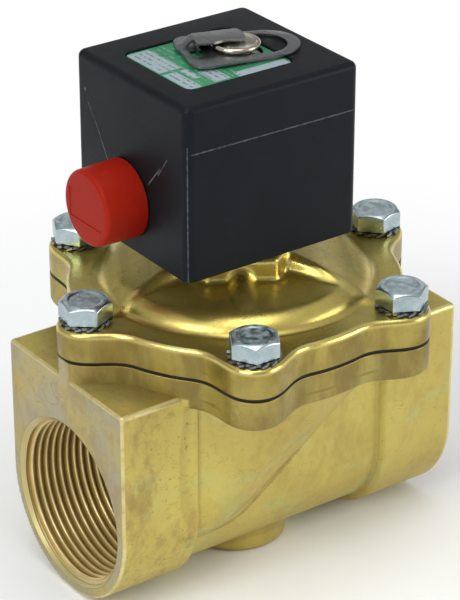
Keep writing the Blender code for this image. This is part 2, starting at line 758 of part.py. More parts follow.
def bonnet():
    """Cast bonnet: lobed flange, dome, six-sided hub and two buttresses."""
    flange = eased_slab("bonnet", lobed_outline, BONNET_FACE, FLANGE_TOP, FLANGE_EDGE)
    cover = add_object("bonnet", flange, "polished_brass")
    hub = add_object("hub", eased_slab(
        "hub", lambda inset: hexagon(HUB_FLATS - 2 * inset), FLANGE_TOP + UNION_SINK, HUB_TOP, HUB_EDGE,
    ))
    for tool in (
        dome(),
        hub,
        buttress("outlet_buttress", BUTTRESS_DEGREES),
        buttress("inlet_buttress", BUTTRESS_DEGREES + 180.0),
        hub_rib(),
    ):
        combine(cover, "UNION", tool)
    roof_edge = CHAMBER_RADIUS - DOME_RISE
    chamber = turned("bonnet_chamber", [
        (0, CHAMBER_ROOF),
        (roof_edge - DOME_WALL, CHAMBER_ROOF),
        (roof_edge, CHAMBER_ROOF - DOME_WALL / 2),
        (CHAMBER_RADIUS, BONNET_FACE - CUT_MARGIN),
        (0, BONNET_FACE - CUT_MARGIN),
    ])
    bore = turned("tube_bore", [
        (NOZZLE_RADIUS, HUB_TOP + CUT_MARGIN),
        (O_RING_POCKET_RADIUS, HUB_TOP + CUT_MARGIN),
        (O_RING_POCKET_RADIUS, O_RING_POCKET_FLOOR),
        (SHANK_RADIUS + GAP, O_RING_POCKET_FLOOR),
        (SHANK_RADIUS + GAP, BORE_FLOOR),
        (NOZZLE_RADIUS, BORE_FLOOR),
    ])
    nozzle_trim = turned("nozzle_trim", [
        (0, HUB_TOP + CUT_MARGIN),
        (NOZZLE_RADIUS + GAP, HUB_TOP + CUT_MARGIN),
        (NOZZLE_RADIUS + GAP, NOZZLE_TOP),
        (NOZZLE_BORE, NOZZLE_TOP),
        (NOZZLE_BORE, BORE_FLOOR - DOME_WALL / 2),
        (0, BORE_FLOOR - DOME_WALL / 2),
    ], steps=SMALL_STEPS)
    vent = plate(
        "vent",
        [circle(VENT_RADIUS, SMALL_STEPS // 2, (0.0, (NOZZLE_RADIUS + TUBE_BORE) / 2))],
        CHAMBER_ROOF - CUT_MARGIN,
        BORE_FLOOR + CUT_MARGIN,
    )
    holes = bolt_holes("bonnet_bolt_holes", BONNET_FACE - CUT_MARGIN, FLANGE_TOP + CUT_MARGIN)
    for tool in (chamber, bore, nozzle_trim, vent, holes):
        combine(cover, "DIFFERENCE", tool)
    return cover


def diaphragm():
    """Rubber diaphragm: lobed clamped rim and a dished web down to the main disc."""
    bottom = BODY_FACE + CLAMP_GAP
    top = bottom + DIAPHRAGM_RIM
    middle = (bottom + top) / 2
    web_z = WEB_BOTTOM + DIAPHRAGM_WEB / 2
    join = CHAMBER_RADIUS - DIAPHRAGM_WEB
    sheet = plate("diaphragm", lobed_loops() + [circle(join)], bottom, top, "black_rubber")
    roll = (join - WEB_FLAT_RADIUS) / 5
    web = turned("diaphragm_web", band_outline([
        (STEM_HOLE, web_z),
        (WEB_FLAT_RADIUS, web_z),
        (WEB_FLAT_RADIUS + roll, web_z + (middle - web_z) * 0.12),
        (join - 1.5 * roll, middle - (middle - web_z) * 0.12),
        (join - roll / 2, middle),
        (join + DIAPHRAGM_WEB / 2, middle),
    ], DIAPHRAGM_WEB), steps=ROUND_STEPS)
    combine(sheet, "UNION", web)
    return sheet


def disc_ring(name, radius, bottom, thickness, look, edge):
    """Flat round piece of the main disc, with a stem hole and eased edges."""
    top = bottom + thickness
    return turned(name, [
        (STEM_HOLE, top),
        (radius - edge, top),
        (radius, top - edge),
        (radius, bottom + edge),
        (radius - edge, bottom),
        (STEM_HOLE, bottom),
    ], look, steps=ROUND_STEPS)


def main_disc():
    """Pieces that rise together off the main seat."""
    edge = GAP
    seal_radius = SEAT_RADIUS + SEAL_OVERLAP
    seal = disc_ring("main_seal", seal_radius, SEAL_BOTTOM, SEAL_THICKNESS, "black_rubber", edge)
    lower = disc_ring(
        "lower_support_plate", PLATE_RADIUS, LOWER_PLATE_BOTTOM, LOWER_PLATE, "polished_brass", 2 * edge,
    )
    upper = disc_ring(
        "upper_support_plate", PLATE_RADIUS, UPPER_PLATE_BOTTOM, UPPER_PLATE, "stainless", 2 * edge,
    )
    head_top = SEAL_BOTTOM - GAP
    nut_bottom = UPPER_PLATE_TOP + GAP
    nut_top = nut_bottom + STEM_NUT
    stem = turned("disc_stem", [
        (0, nut_top + GAP),
        (STEM_RADIUS, nut_top),
        (STEM_RADIUS, head_top),
        (STEM_HEAD_RADIUS, head_top),
        (STEM_HEAD_RADIUS, head_top - STEM_HEAD / 2),
        (STEM_HEAD_RADIUS - STEM_HEAD / 2, head_top - STEM_HEAD),
        (0, head_top - STEM_HEAD),
    ], "stainless", SMALL_STEPS)
    nut_loops = [hexagon(STEM_NUT_FLATS), circle(STEM_HOLE, SMALL_STEPS)]
    nut = plate("disc_nut", nut_loops, nut_bottom, nut_top, "stainless")
    return [seal, lower, upper, stem, nut]


def helix_points(foot_radius, head_radius, bottom, top, curls):
    """Centre line of a spring, from its foot to its head."""
    count = curls * CURL_POINTS
    points = []
    for index in range(count + 1):
        share = index / count
        radius = foot_radius + (head_radius - foot_radius) * share
        angle = math.tau * curls * share
        points.append((radius * math.cos(angle), radius * math.sin(angle), bottom + (top - bottom) * share))
    return points


def spring(name, points, wire):
    """Unbroken wire along a centre line; prints its least gap to itself."""
    path = np.array(points)
    apart = np.linalg.norm(path[:, None] - path[None, :], axis=2)
    index = np.arange(len(path))
    far = np.abs(index[:, None] - index[None, :]) > CURL_POINTS // 2
    print(f"{name} least gap to itself: {(apart[far].min() - wire) * 1000:.2f} mm")
    curve = bpy.data.curves.new(name, "CURVE")
    curve.dimensions = "3D"
    curve.bevel_depth = wire / 2
    curve.bevel_resolution = 1
    curve.use_fill_caps = True
    spline = curve.splines.new("POLY")
    spline.points.add(len(points) - 1)
    for point, place in zip(spline.points, points):
        point.co = (*place, 1.0)
    item = bpy.data.objects.new(name, curve)
    CUTTERS.objects.link(item)
    return add_object(name, frozen_mesh(item, name), "stainless")


def main_spring():
    """Conical spring that holds the main disc on its seat."""
    bottom = UPPER_PLATE_TOP + GAP + MAIN_WIRE / 2
    top = CHAMBER_ROOF - GAP - MAIN_WIRE / 2
    points = helix_points(MAIN_SPRING_FOOT, MAIN_SPRING_HEAD, bottom, top, MAIN_SPRING_CURLS)
    return spring("main_spring", points, MAIN_WIRE)


def bolt_mesh():
    """Hexagon-head screw with a dished, chamfered head, standing on its head seat."""
    corner = HEAD_FLATS / math.sqrt(3)
    ease = corner - HEAD_FLATS / 2
    head = plate("bolt_blank", [hexagon(HEAD_FLATS)], 0.0, HEAD_HEIGHT, "zinc_plate")
    turning = turned("bolt_turning", [
        (0, HEAD_HEIGHT - HEAD_DISH_DEPTH),
        (HEAD_DISH_RADIUS - HEAD_DISH_DEPTH, HEAD_HEIGHT - HEAD_DISH_DEPTH),
        (HEAD_DISH_RADIUS, HEAD_HEIGHT),
        (HEAD_FLATS / 2 - ease / 2, HEAD_HEIGHT),
        (corner + CUT_MARGIN, HEAD_HEIGHT - ease - CUT_MARGIN / 2),
        (corner + CUT_MARGIN, -CUT_MARGIN),
        (0, -CUT_MARGIN),
    ], steps=SMALL_STEPS)
    combine(head, "INTERSECT", turning)
    shank_end = BODY_FACE - BOLT_ENGAGEMENT - HEAD_SEAT
    combine(head, "UNION", turned("bolt_shank", [
        (0, HEAD_HEIGHT / 2),
        (BOLT_RADIUS, HEAD_HEIGHT / 2),
        (BOLT_RADIUS, shank_end + BOLT_RADIUS / 5),
        (BOLT_RADIUS * 0.8, shank_end),
        (0, shank_end),
    ], steps=SMALL_STEPS))
    mesh = frozen_mesh(head, "bonnet_bolt")
    mesh.materials.append(finish("zinc_plate"))
    return mesh


def washer_mesh():
    """External-tooth lock washer."""
    root = HEAD_FLATS / 2 - GAP
    edge = []
    pitch = math.tau / WASHER_TEETH
    for k in range(WASHER_TEETH):
        for share, radius in ((0.0, WASHER_RADIUS), (0.45, WASHER_RADIUS), (0.55, root), (0.9, root)):
            angle = (k + share) * pitch
            edge.append((radius * math.cos(angle), radius * math.sin(angle)))
    mesh = plate_mesh("lock_washer", [edge, circle(BOLT_HOLE_RADIUS, SMALL_STEPS)], 0.0, WASHER_THICKNESS)
    mesh.materials.append(finish("zinc_plate"))
    return mesh


def bonnet_fasteners():
    """Six screws and lock washers round the bonnet flange."""
    bolt = bolt_mesh()
    washer = washer_mesh()
    for number, angle in enumerate(bolt_angles(), start=1):
        for name, mesh, height in (
            (f"bonnet_bolt_{number}", bolt, HEAD_SEAT),
            (f"lock_washer_{number}", washer, FLANGE_TOP + GAP),
        ):
            item = bpy.data.objects.new(name, mesh)
            item.location = (BOLT_CIRCLE * math.cos(angle), BOLT_CIRCLE * math.sin(angle), height)
            item.rotation_euler.z = angle
            PARTS.objects.link(item)


def core_tube():
    """Closed tube with a screwed shank, a six-sided flange and a necked knob for the clip."""
    edge = KNOB_THICKNESS / 3
    tube = turned("core_tube", [
        (0, KNOB_TOP - KNOB_DISH),
        (KNOB_RADIUS - 3 * edge, KNOB_TOP - KNOB_DISH),
        (KNOB_RADIUS - 2 * edge, KNOB_TOP),
        (KNOB_RADIUS - edge, KNOB_TOP),
        (KNOB_RADIUS, KNOB_TOP - edge),
        (KNOB_RADIUS, KNOB_BOTTOM + edge),
        (KNOB_RADIUS - edge, KNOB_BOTTOM),
        (NECK_RADIUS, KNOB_BOTTOM),
        (NECK_RADIUS, TUBE_TOP),
        (TUBE_RADIUS - edge, TUBE_TOP),
        (TUBE_RADIUS, TUBE_TOP - edge),
        (TUBE_RADIUS, FLANGE_SEAT + TUBE_FLANGE / 2),
        (SHANK_RADIUS, FLANGE_SEAT + TUBE_FLANGE / 2),
        (SHANK_RADIUS, SHANK_BOTTOM),
        (TUBE_BORE, SHANK_BOTTOM),
        (TUBE_BORE, CROWN_BOTTOM),
        (0, CROWN_BOTTOM),
    ], "stainless")
    flange_loops = [hexagon(TUBE_FLANGE_FLATS), circle(TUBE_BORE + TUBE_WALL / 2)]
    combine(tube, "UNION", plate("tube_flange", flange_loops, FLANGE_SEAT, TUBE_FLANGE_TOP))
    return tube


def core_tube_seal():
    """O-ring in the counterbore of the hub."""
    centre = O_RING_POCKET_FLOOR + GAP + O_RING_WIRE / 2
    ring = [(O_RING_RADIUS + r, centre + z) for r, z in circle(O_RING_WIRE / 2, SMALL_STEPS // 2)]
    return turned("tube_o_ring", ring[::-1], "black_rubber")


def core_pieces():
    """Core with its pilot seal: the pieces that the coil lifts."""
    edge = 2 * GAP
    pocket = CORE_SEAL_RADIUS + GAP
    seal_top = NOZZLE_TOP + GAP + CORE_SEAL
    core = turned("core", [
        (0, CORE_TOP - CORE_POCKET),
        (CORE_POCKET_RADIUS, CORE_TOP - CORE_POCKET),
        (CORE_POCKET_RADIUS, CORE_TOP),
        (CORE_RADIUS - edge, CORE_TOP),
        (CORE_RADIUS, CORE_TOP - edge),
        (CORE_RADIUS, CORE_BOTTOM + edge),
        (CORE_RADIUS - edge, CORE_BOTTOM),
        (pocket, CORE_BOTTOM),
        (pocket, seal_top + GAP),
        (0, seal_top + GAP),
    ], "soft_iron", SMALL_STEPS)
    seal = turned("pilot_seal", [
        (0, seal_top),
        (CORE_SEAL_RADIUS, seal_top),
        (CORE_SEAL_RADIUS, NOZZLE_TOP + GAP),
        (0, NOZZLE_TOP + GAP),
    ], "black_rubber", SMALL_STEPS)
    return [core, seal]


def core_stop():
    """Fixed iron stop at the top of the tube and its copper shading ring."""
    groove_inner = SHADING_RADIUS - SHADING_WIDTH / 2 - GAP
    groove_outer = SHADING_RADIUS + SHADING_WIDTH / 2 + GAP
    groove_top = STOP_BOTTOM + SHADING_DEPTH + GAP
    turned("core_stop", [
        (0, STOP_TOP),
        (CORE_RADIUS, STOP_TOP),
        (CORE_RADIUS, STOP_BOTTOM),
        (groove_outer, STOP_BOTTOM),
        (groove_outer, groove_top),
        (groove_inner, groove_top),
        (groove_inner, STOP_BOTTOM),
        (0, STOP_BOTTOM),
    ], "soft_iron", SMALL_STEPS)
    turned("shading_ring", [
        (SHADING_RADIUS - SHADING_WIDTH / 2, groove_top - GAP),
        (SHADING_RADIUS + SHADING_WIDTH / 2, groove_top - GAP),
        (SHADING_RADIUS + SHADING_WIDTH / 2, STOP_BOTTOM),
        (SHADING_RADIUS - SHADING_WIDTH / 2, STOP_BOTTOM),
    ], "copper", SMALL_STEPS)


def core_spring():
    """Return spring in the core's top pocket."""
    radius = CORE_POCKET_RADIUS - GAP - CORE_WIRE / 2
    bottom = CORE_TOP - CORE_POCKET + GAP + CORE_WIRE / 2
    top = STOP_BOTTOM - GAP - CORE_WIRE / 2
    return spring("core_spring", helix_points(radius, radius, bottom, top, CORE_CURLS), CORE_WIRE)


def spring_washer():
    """Dished washer that takes up play between the tube flange and the coil."""
    low = SPRING_WASHER_BOTTOM + SPRING_WASHER_SHEET / 2
    path = [(COIL_BORE, low + SPRING_WASHER_RISE), (SPRING_WASHER_RADIUS, low)]
    return turned("spring_washer", band_outline(path, SPRING_WASHER_SHEET), "spring_steel")


def coil_housing():
    """Moulded box round the coil, open below, with a bore for the tube and a plate recess."""
    centre = (COIL_OFFSET, 0.0)
    box = eased_slab("coil_housing", coil_outline, COIL_BOTTOM, COIL_TOP, COIL_EDGE)
    shell = add_object("coil_housing", box, "black_coating")
    cavity = rounded_rectangle(CAVITY_LENGTH, CAVITY_WIDTH, COIL_CORNER, centre)
    recess = recess_outline(0.0)
    entry = turned("spigot_hole", [
        (0, COIL_WALL),
        (SPIGOT_ROOT_RADIUS + GAP, COIL_WALL),
        (SPIGOT_ROOT_RADIUS + GAP, -2 * COIL_WALL),
        (0, -2 * COIL_WALL),
    ], steps=SMALL_STEPS)
    face_towards_inlet(entry)
    for tool in (
        plate("coil_cavity", [cavity], COIL_BOTTOM - CUT_MARGIN, CAVITY_TOP),
        plate("coil_bore", [circle(COIL_BORE)], CAVITY_TOP - CUT_MARGIN, COIL_TOP + CUT_MARGIN),
        plate("plate_recess", [recess], RECESS_FLOOR, COIL_TOP + CUT_MARGIN),
        entry,
    ):
        combine(shell, "DIFFERENCE", tool)
    return shell


def coil_outline(inset):
    """Outline of the coil housing, drawn in by an inset."""
    return rounded_rectangle(
        COIL_LENGTH - 2 * inset, COIL_WIDTH - 2 * inset, COIL_CORNER - inset, (COIL_OFFSET, 0.0),
    )


def recess_outline(inset):
    """Outline of the plate recess on the coil's top, drawn in by an inset."""
    return rounded_rectangle(
        RECESS_LENGTH - 2 * inset,
        RECESS_WIDTH - 2 * inset,
        RECESS_CORNER - inset,
        (COIL_OFFSET + RECESS_SHIFT, 0.0),
    )


def face_towards_inlet(item):
    """Turn a piece that was revolved about Z onto the spigot axis, with its top towards -X."""
    item.location = (COIL_INLET_FACE, SPIGOT_SIDE, SPIGOT_Z)
    item.rotation_euler.y = -math.pi / 2


def coil_inside():
    """Base plate, yoke, bobbin, winding and name plate that ride in the coil housing."""
    centre = (COIL_OFFSET, 0.0)
    base = rounded_rectangle(CAVITY_LENGTH - 2 * GAP, CAVITY_WIDTH - 2 * GAP, COIL_CORNER, centre)
    plate("coil_base_plate", [base, circle(COIL_BORE)], COIL_BOTTOM, BASE_PLATE_TOP, "soft_iron")
    leg = CAVITY_WIDTH / 2 - GAP
    arch = [
        (leg, BOBBIN_BOTTOM),
        (leg, YOKE_TOP),
        (-leg, YOKE_TOP),
        (-leg, BOBBIN_BOTTOM),
        (YOKE_SHEET - leg, BOBBIN_BOTTOM),
        (YOKE_SHEET - leg, YOKE_TOP - YOKE_SHEET),
        (leg - YOKE_SHEET, YOKE_TOP - YOKE_SHEET),
        (leg - YOKE_SHEET, BOBBIN_BOTTOM),
    ]
    yoke_mesh = along_x("yoke", arch, -YOKE_DEPTH / 2, YOKE_DEPTH / 2)
    yoke = add_object("yoke", yoke_mesh, "soft_iron")
    combine(yoke, "DIFFERENCE", plate(
        "yoke_bore", [circle(COIL_BORE)], YOKE_TOP - 2 * YOKE_SHEET, YOKE_TOP + CUT_MARGIN,
    ))
    core = COIL_BORE + BOBBIN_WALL
    turned("bobbin", [
        (COIL_BORE, BOBBIN_TOP),
        (BOBBIN_RADIUS, BOBBIN_TOP),
        (BOBBIN_RADIUS, BOBBIN_TOP - BOBBIN_FLANGE),
        (core, BOBBIN_TOP - BOBBIN_FLANGE),
        (core, BOBBIN_BOTTOM + BOBBIN_FLANGE),
        (BOBBIN_RADIUS, BOBBIN_BOTTOM + BOBBIN_FLANGE),
        (BOBBIN_RADIUS, BOBBIN_BOTTOM),
        (COIL_BORE, BOBBIN_BOTTOM),
    ], "bobbin_plastic")
    turned("coil_winding", [
        (core + GAP, BOBBIN_TOP - BOBBIN_FLANGE - GAP),
        (WINDING_RADIUS, BOBBIN_TOP - BOBBIN_FLANGE - GAP),
        (WINDING_RADIUS, BOBBIN_BOTTOM + BOBBIN_FLANGE + GAP),
        (core + GAP, BOBBIN_BOTTOM + BOBBIN_FLANGE + GAP),
    ], "copper")
    plate(
        "nameplate", [recess_outline(GAP), circle(COIL_BORE)],
        RECESS_FLOOR + GAP, RECESS_FLOOR + GAP + NAMEPLATE, "printed_plate",
    )


def conduit_spigot():
    """Hollow nipple on the inlet side of the coil, where the leads enter."""
    spigot = turned("conduit_spigot", [
        (SPIGOT_BORE, SPIGOT_LENGTH),
        (SPIGOT_RADIUS - GAP, SPIGOT_LENGTH),
        (SPIGOT_RADIUS, SPIGOT_LENGTH - GAP),
        (SPIGOT_RADIUS, GAP),
        (SPIGOT_ROOT_RADIUS, GAP),
        (SPIGOT_ROOT_RADIUS, -COIL_WALL),
        (SPIGOT_BORE, -COIL_WALL),
    ], "zinc_plate")
    face_towards_inlet(spigot)
    return spigot


def conduit_cap():
    """Pull-off cap over the spigot, slightly tapered with an eased rim."""
    tip = CAP_RADIUS - CAP_DRAFT
    rim = arc((tip - CAP_EDGE, CAP_LENGTH - CAP_EDGE), CAP_EDGE, math.pi / 2, 0.0, 4)
    cap = turned("conduit_cap", [
        (0, CAP_LENGTH),
        *rim,
        (CAP_RADIUS, GAP),
        (SPIGOT_RADIUS + GAP, GAP),
        (SPIGOT_RADIUS + GAP, SPIGOT_LENGTH + GAP),
        (0, SPIGOT_LENGTH + GAP),
    ], "red_plastic")
    face_towards_inlet(cap)
    return cap


def clip_outline():
    """Edge of the clip: a wide tail drawn in to a round finger loop, long axis along +X."""
    corner = Vector((CLIP_CORNER - CLIP_TAIL, CLIP_TAIL_HALF - CLIP_CORNER))
    loop = Vector((CLIP_TIP - CLIP_LOOP_RADIUS, 0.0))
    run = loop - corner
    slope = math.atan2(run.y, run.x)
    lean = math.acos((CLIP_CORNER - CLIP_LOOP_RADIUS) / run.length)
    tangent = slope + lean
    tip = arc(loop, CLIP_LOOP_RADIUS, -tangent, tangent, 16)
    upper = arc(corner, CLIP_CORNER, tangent, math.pi, 5)
    lower = [(x, -y) for x, y in reversed(upper)]
    return tip + upper + lower


def keyhole_outline():
    """Clip opening: a round hole that passes the knob, and a narrower end round the neck."""
    neck = NECK_RADIUS + GAP
    meet = math.asin(neck / CLIP_HOLE_RADIUS)
    hole = arc((CLIP_TRAVEL, 0.0), CLIP_HOLE_RADIUS, meet - math.pi, math.pi - meet, 20)
    end = arc((0.0, 0.0), neck, math.pi / 2, 3 * math.pi / 2, 10)
    return hole + end


def clip_shelf(start):
    """Strip over the rear of the knob, with a leg turned down at its tail and a ramp up from the plate."""
    inset = CLIP_SHEET / 8
    shelf_top = CLIP_SHELF_BOTTOM + CLIP_SHEET
    length = CLIP_SHELF_END - start
    depth = CLIP_SHELF_REAR - CLIP_SHELF_FRONT
    middle = (start + length / 2, CLIP_SHELF_FRONT + depth / 2)
    shelf = rounded_rectangle(length, depth, CLIP_SHEET, middle, 2)
    leg_centre = (start + inset + CLIP_SHEET / 2, CLIP_LEG_REAR - CLIP_LEG_WIDTH / 2)
    leg = rounded_rectangle(CLIP_SHEET, CLIP_LEG_WIDTH, inset, leg_centre, 1)
    ramp = []
    for x, low, high in (
        (start - CLIP_RAMP_RUN, CLIP_BOTTOM, CLIP_TOP),
        (start + CLIP_SHEET, CLIP_SHELF_BOTTOM, shelf_top),
    ):
        ramp.append([
            (x, CLIP_LEG_REAR + CLIP_SHEET, low + inset),
            (x, CLIP_SHELF_REAR - inset, low + inset),
            (x, CLIP_SHELF_REAR - inset, high - inset),
            (x, CLIP_LEG_REAR + CLIP_SHEET, high - inset),
        ])
    return (
        add_object("clip_ramp", skinned("clip_ramp", ramp)),
        plate("clip_shelf", [shelf], CLIP_SHELF_BOTTOM, shelf_top),
        plate("clip_leg", [leg], CLIP_TOP - CLIP_SHEET / 2, shelf_top - inset),
    )


def retaining_clip():
    """Spring-steel clip with a keyhole, a tail slot and a shelf that is raised over the knob."""
    slot_start = CLIP_CORNER / 2 - CLIP_TAIL
    slot_middle = (slot_start + CLIP_SLOT_LENGTH / 2, CLIP_LEG_REAR + GAP - CLIP_SLOT_WIDTH / 2)
    slot = rounded_rectangle(CLIP_SLOT_LENGTH, CLIP_SLOT_WIDTH, CLIP_SLOT_LENGTH / 6, slot_middle, 1)
    loops = [clip_outline(), keyhole_outline(), slot]
    clip = plate("retaining_clip", loops, CLIP_BOTTOM, CLIP_TOP, "spring_steel")
    clip.rotation_euler.z = math.radians(CLIP_DEGREES)
    for piece in clip_shelf(slot_start + CLIP_SLOT_LENGTH / 2):
        piece.rotation_euler.z = clip.rotation_euler.z
        combine(clip, "UNION", piece)
    return clip


def joint_empty(name, location, members):
    """Add an empty on a joint's axis and hang the moving pieces on it."""
    empty = bpy.data.objects.new(name, None)
    empty.location = location
    empty.empty_display_size = CAP_RADIUS
    PARTS.objects.link(empty)
    for member in members:
        item = bpy.data.objects[member]
        item.parent = empty
        item.matrix_parent_inverse = Matrix.Translation(location).inverted()


def build():
    """Model every sub-part and hang the moving ones on their joint axes."""
    valve_body()
    diaphragm()
    main_disc()
    main_spring()
    bonnet()
    bonnet_fasteners()
    core_tube_seal()
    core_tube()
    core_stop()
    core_pieces()
    core_spring()
    spring_washer()
    coil_housing()
    coil_inside()
    conduit_spigot()
    conduit_cap()
    retaining_clip()
    joint_empty("coil_turn", (0.0, 0.0, COIL_BOTTOM), (
        "coil_housing", "coil_base_plate", "yoke", "bobbin", "coil_winding", "nameplate", "conduit_spigot",
    ))
    joint_empty("cap_pull", (COIL_INLET_FACE, SPIGOT_SIDE, SPIGOT_Z), ("conduit_cap",))
    joint_empty("clip_slide", (0.0, 0.0, CLIP_BOTTOM), ("retaining_clip",))
    joint_empty("core_lift", (0.0, 0.0, CORE_BOTTOM), ("core", "pilot_seal"))
    joint_empty("main_lift", (0.0, 0.0, SEAT_TOP), (
        "main_seal", "lower_support_plate", "upper_support_plate", "disc_stem", "disc_nut",
    ))


build()
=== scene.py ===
"""Finish, fine shapes and studio for a pilot-operated solenoid valve.

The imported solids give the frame: every piece here takes its place from them, rides on one of their
bodies and stays inside their box. Lengths are metres, +Z is up and +X runs with the flow.
"""

import itertools
import logging
import math
from dataclasses import dataclass, field
from enum import Enum
from functools import lru_cache, partialmethod, reduce
from typing import Callable, Iterable, Sequence, Union

import bmesh
import bpy
import numpy as np
from mathutils import Matrix, Vector


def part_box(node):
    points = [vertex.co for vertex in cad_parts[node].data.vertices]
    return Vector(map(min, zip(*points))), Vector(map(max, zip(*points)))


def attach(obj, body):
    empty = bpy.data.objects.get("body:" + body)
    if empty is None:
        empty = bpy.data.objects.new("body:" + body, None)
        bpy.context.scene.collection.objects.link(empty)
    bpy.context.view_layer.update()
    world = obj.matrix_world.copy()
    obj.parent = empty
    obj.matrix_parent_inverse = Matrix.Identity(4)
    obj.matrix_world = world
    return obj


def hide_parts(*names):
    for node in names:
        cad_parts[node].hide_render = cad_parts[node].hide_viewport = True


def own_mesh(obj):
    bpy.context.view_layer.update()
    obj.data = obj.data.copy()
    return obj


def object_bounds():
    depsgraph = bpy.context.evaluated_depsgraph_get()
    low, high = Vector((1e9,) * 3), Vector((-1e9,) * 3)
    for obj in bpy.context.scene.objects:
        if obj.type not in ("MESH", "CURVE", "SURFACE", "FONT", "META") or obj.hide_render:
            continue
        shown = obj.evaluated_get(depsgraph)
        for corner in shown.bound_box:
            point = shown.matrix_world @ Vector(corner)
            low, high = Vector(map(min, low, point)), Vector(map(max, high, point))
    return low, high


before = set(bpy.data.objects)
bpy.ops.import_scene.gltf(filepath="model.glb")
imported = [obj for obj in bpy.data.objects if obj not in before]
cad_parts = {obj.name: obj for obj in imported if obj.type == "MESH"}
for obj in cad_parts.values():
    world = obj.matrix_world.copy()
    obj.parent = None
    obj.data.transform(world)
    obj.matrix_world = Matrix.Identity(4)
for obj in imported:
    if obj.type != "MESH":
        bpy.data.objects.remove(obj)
CAD_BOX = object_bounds()

MM = 0.001
GAP = 0.3 * MM  # between neighbouring solids of the frame
PAST = 1 * MM  # how far a cutter stands past the face that it cuts
FAR_PAST = 2 * MM  # the same for the longer cutters
LOG = logging.getLogger("solenoid_valve")

Array = np.ndarray
Mesh = bpy.types.Mesh
Link = bpy.types.NodeSocket
Links = bpy.types.bpy_prop_collection
Socket = Union[Link, float]
Point = tuple[float, float]
Place = tuple[float, float, float]
Colour = tuple[float, float, float]
Field = Callable[[Array, Array, Array], Array]


class Body(Enum):
    """Bodies of the frame that carry a piece."""

    VALVE = "valve"
    COIL = "coil"
    CAP = "cap"
    CLIP = "clip"


class Flow(Enum):
    """The two pipe ends, by the sign of X."""

    INLET = -1
    OUTLET = 1


# Node trees


class NodeTree:
    """Thin writer for a node tree: adds nodes, links sockets and sets constants."""

    def __init__(self, tree: bpy.types.NodeTree) -> None:
        """Keep the tree that is written to."""
        self.tree = tree

    def add(self, kind: str, inputs: dict | None = None, **settings: object) -> bpy.types.Node:
        """Add a node.

        Args:
            kind: Blender's name for the node type.
            inputs: Socket name or index to a value or another node's output.
            settings: Properties of the node itself.

        Returns:
            The new node.
        """
        node = self.tree.nodes.new(kind)
        for name, value in settings.items():
            setattr(node, name, value)
        for key, value in (inputs or {}).items():
            self.feed(node.inputs[key], value)
        return node

    def out(self, kind: str, inputs: dict | None = None, **settings: object) -> Link:
        """First output of a new node."""
        return self.add(kind, inputs, **settings).outputs[0]

    def feed(self, socket: Link, value: object) -> None:
        """Link an output to a socket, or set the socket's own value.

        Args:
            socket: Input socket.
            value: Output socket of another node, or a constant.
        """
        if isinstance(value, Link):
            self.tree.links.new(value, socket)
        else:
            socket.default_value = value

    def math(self, operation: str, *values: Socket, clamp: bool = False) -> Link:
        """Result of a math node, which clamp keeps within 0 and 1."""
        inputs = dict(enumerate(values))
        return self.out("ShaderNodeMath", inputs, operation=operation, use_clamp=clamp)

    # The operations that come up most. line takes a value, a slope and a base.
    times = partialmethod(math, "MULTIPLY")
    over = partialmethod(math, "DIVIDE")
    plus = partialmethod(math, "ADD")
    minus = partialmethod(math, "SUBTRACT")
    line = partialmethod(math, "MULTIPLY_ADD")
    most = partialmethod(math, "MAXIMUM")
    size = partialmethod(math, "ABSOLUTE")
    part = partialmethod(math, "FRACT")
    under = partialmethod(math, "LESS_THAN")

    def ramp(
        self, value: Socket, low: Socket, high: Socket, start: Socket = 0.0, end: Socket = 1.0
    ) -> Link:
        """Value taken smoothly from the range low to high onto start to end, and held beyond it."""
        inputs = {0: value, 1: low, 2: high, 3: start, 4: end}
        return self.out("ShaderNodeMapRange", inputs, interpolation_type="SMOOTHSTEP")

    def axes(self, vector: Link) -> Links:
        """X, Y and Z of a vector."""
        return self.add("ShaderNodeSeparateXYZ", {0: vector}).outputs

    def vector(self, x: Socket = 0.0, y: Socket = 0.0, z: Socket = 0.0) -> Link:
        """Vector of three values."""
        return self.out("ShaderNodeCombineXYZ", {0: x, 1: y, 2: z})

    def hypot(self, first: Link, second: Link) -> Link:
        """Length across two sides at a right angle."""
        return self.math("SQRT", self.line(first, first, self.times(second, second)))

    def seen(self) -> Link:
        """Tell the rays that show the background from those that light the object.

        Returns:
            1 for the camera and for what it sees in metal and glass, and 0 for other rays.
        """
        paths = self.add("ShaderNodeLightPath").outputs
        direct = self.most(paths["Is Camera Ray"], paths["Is Glossy Ray"])
        return self.most(direct, paths["Is Transmission Ray"])


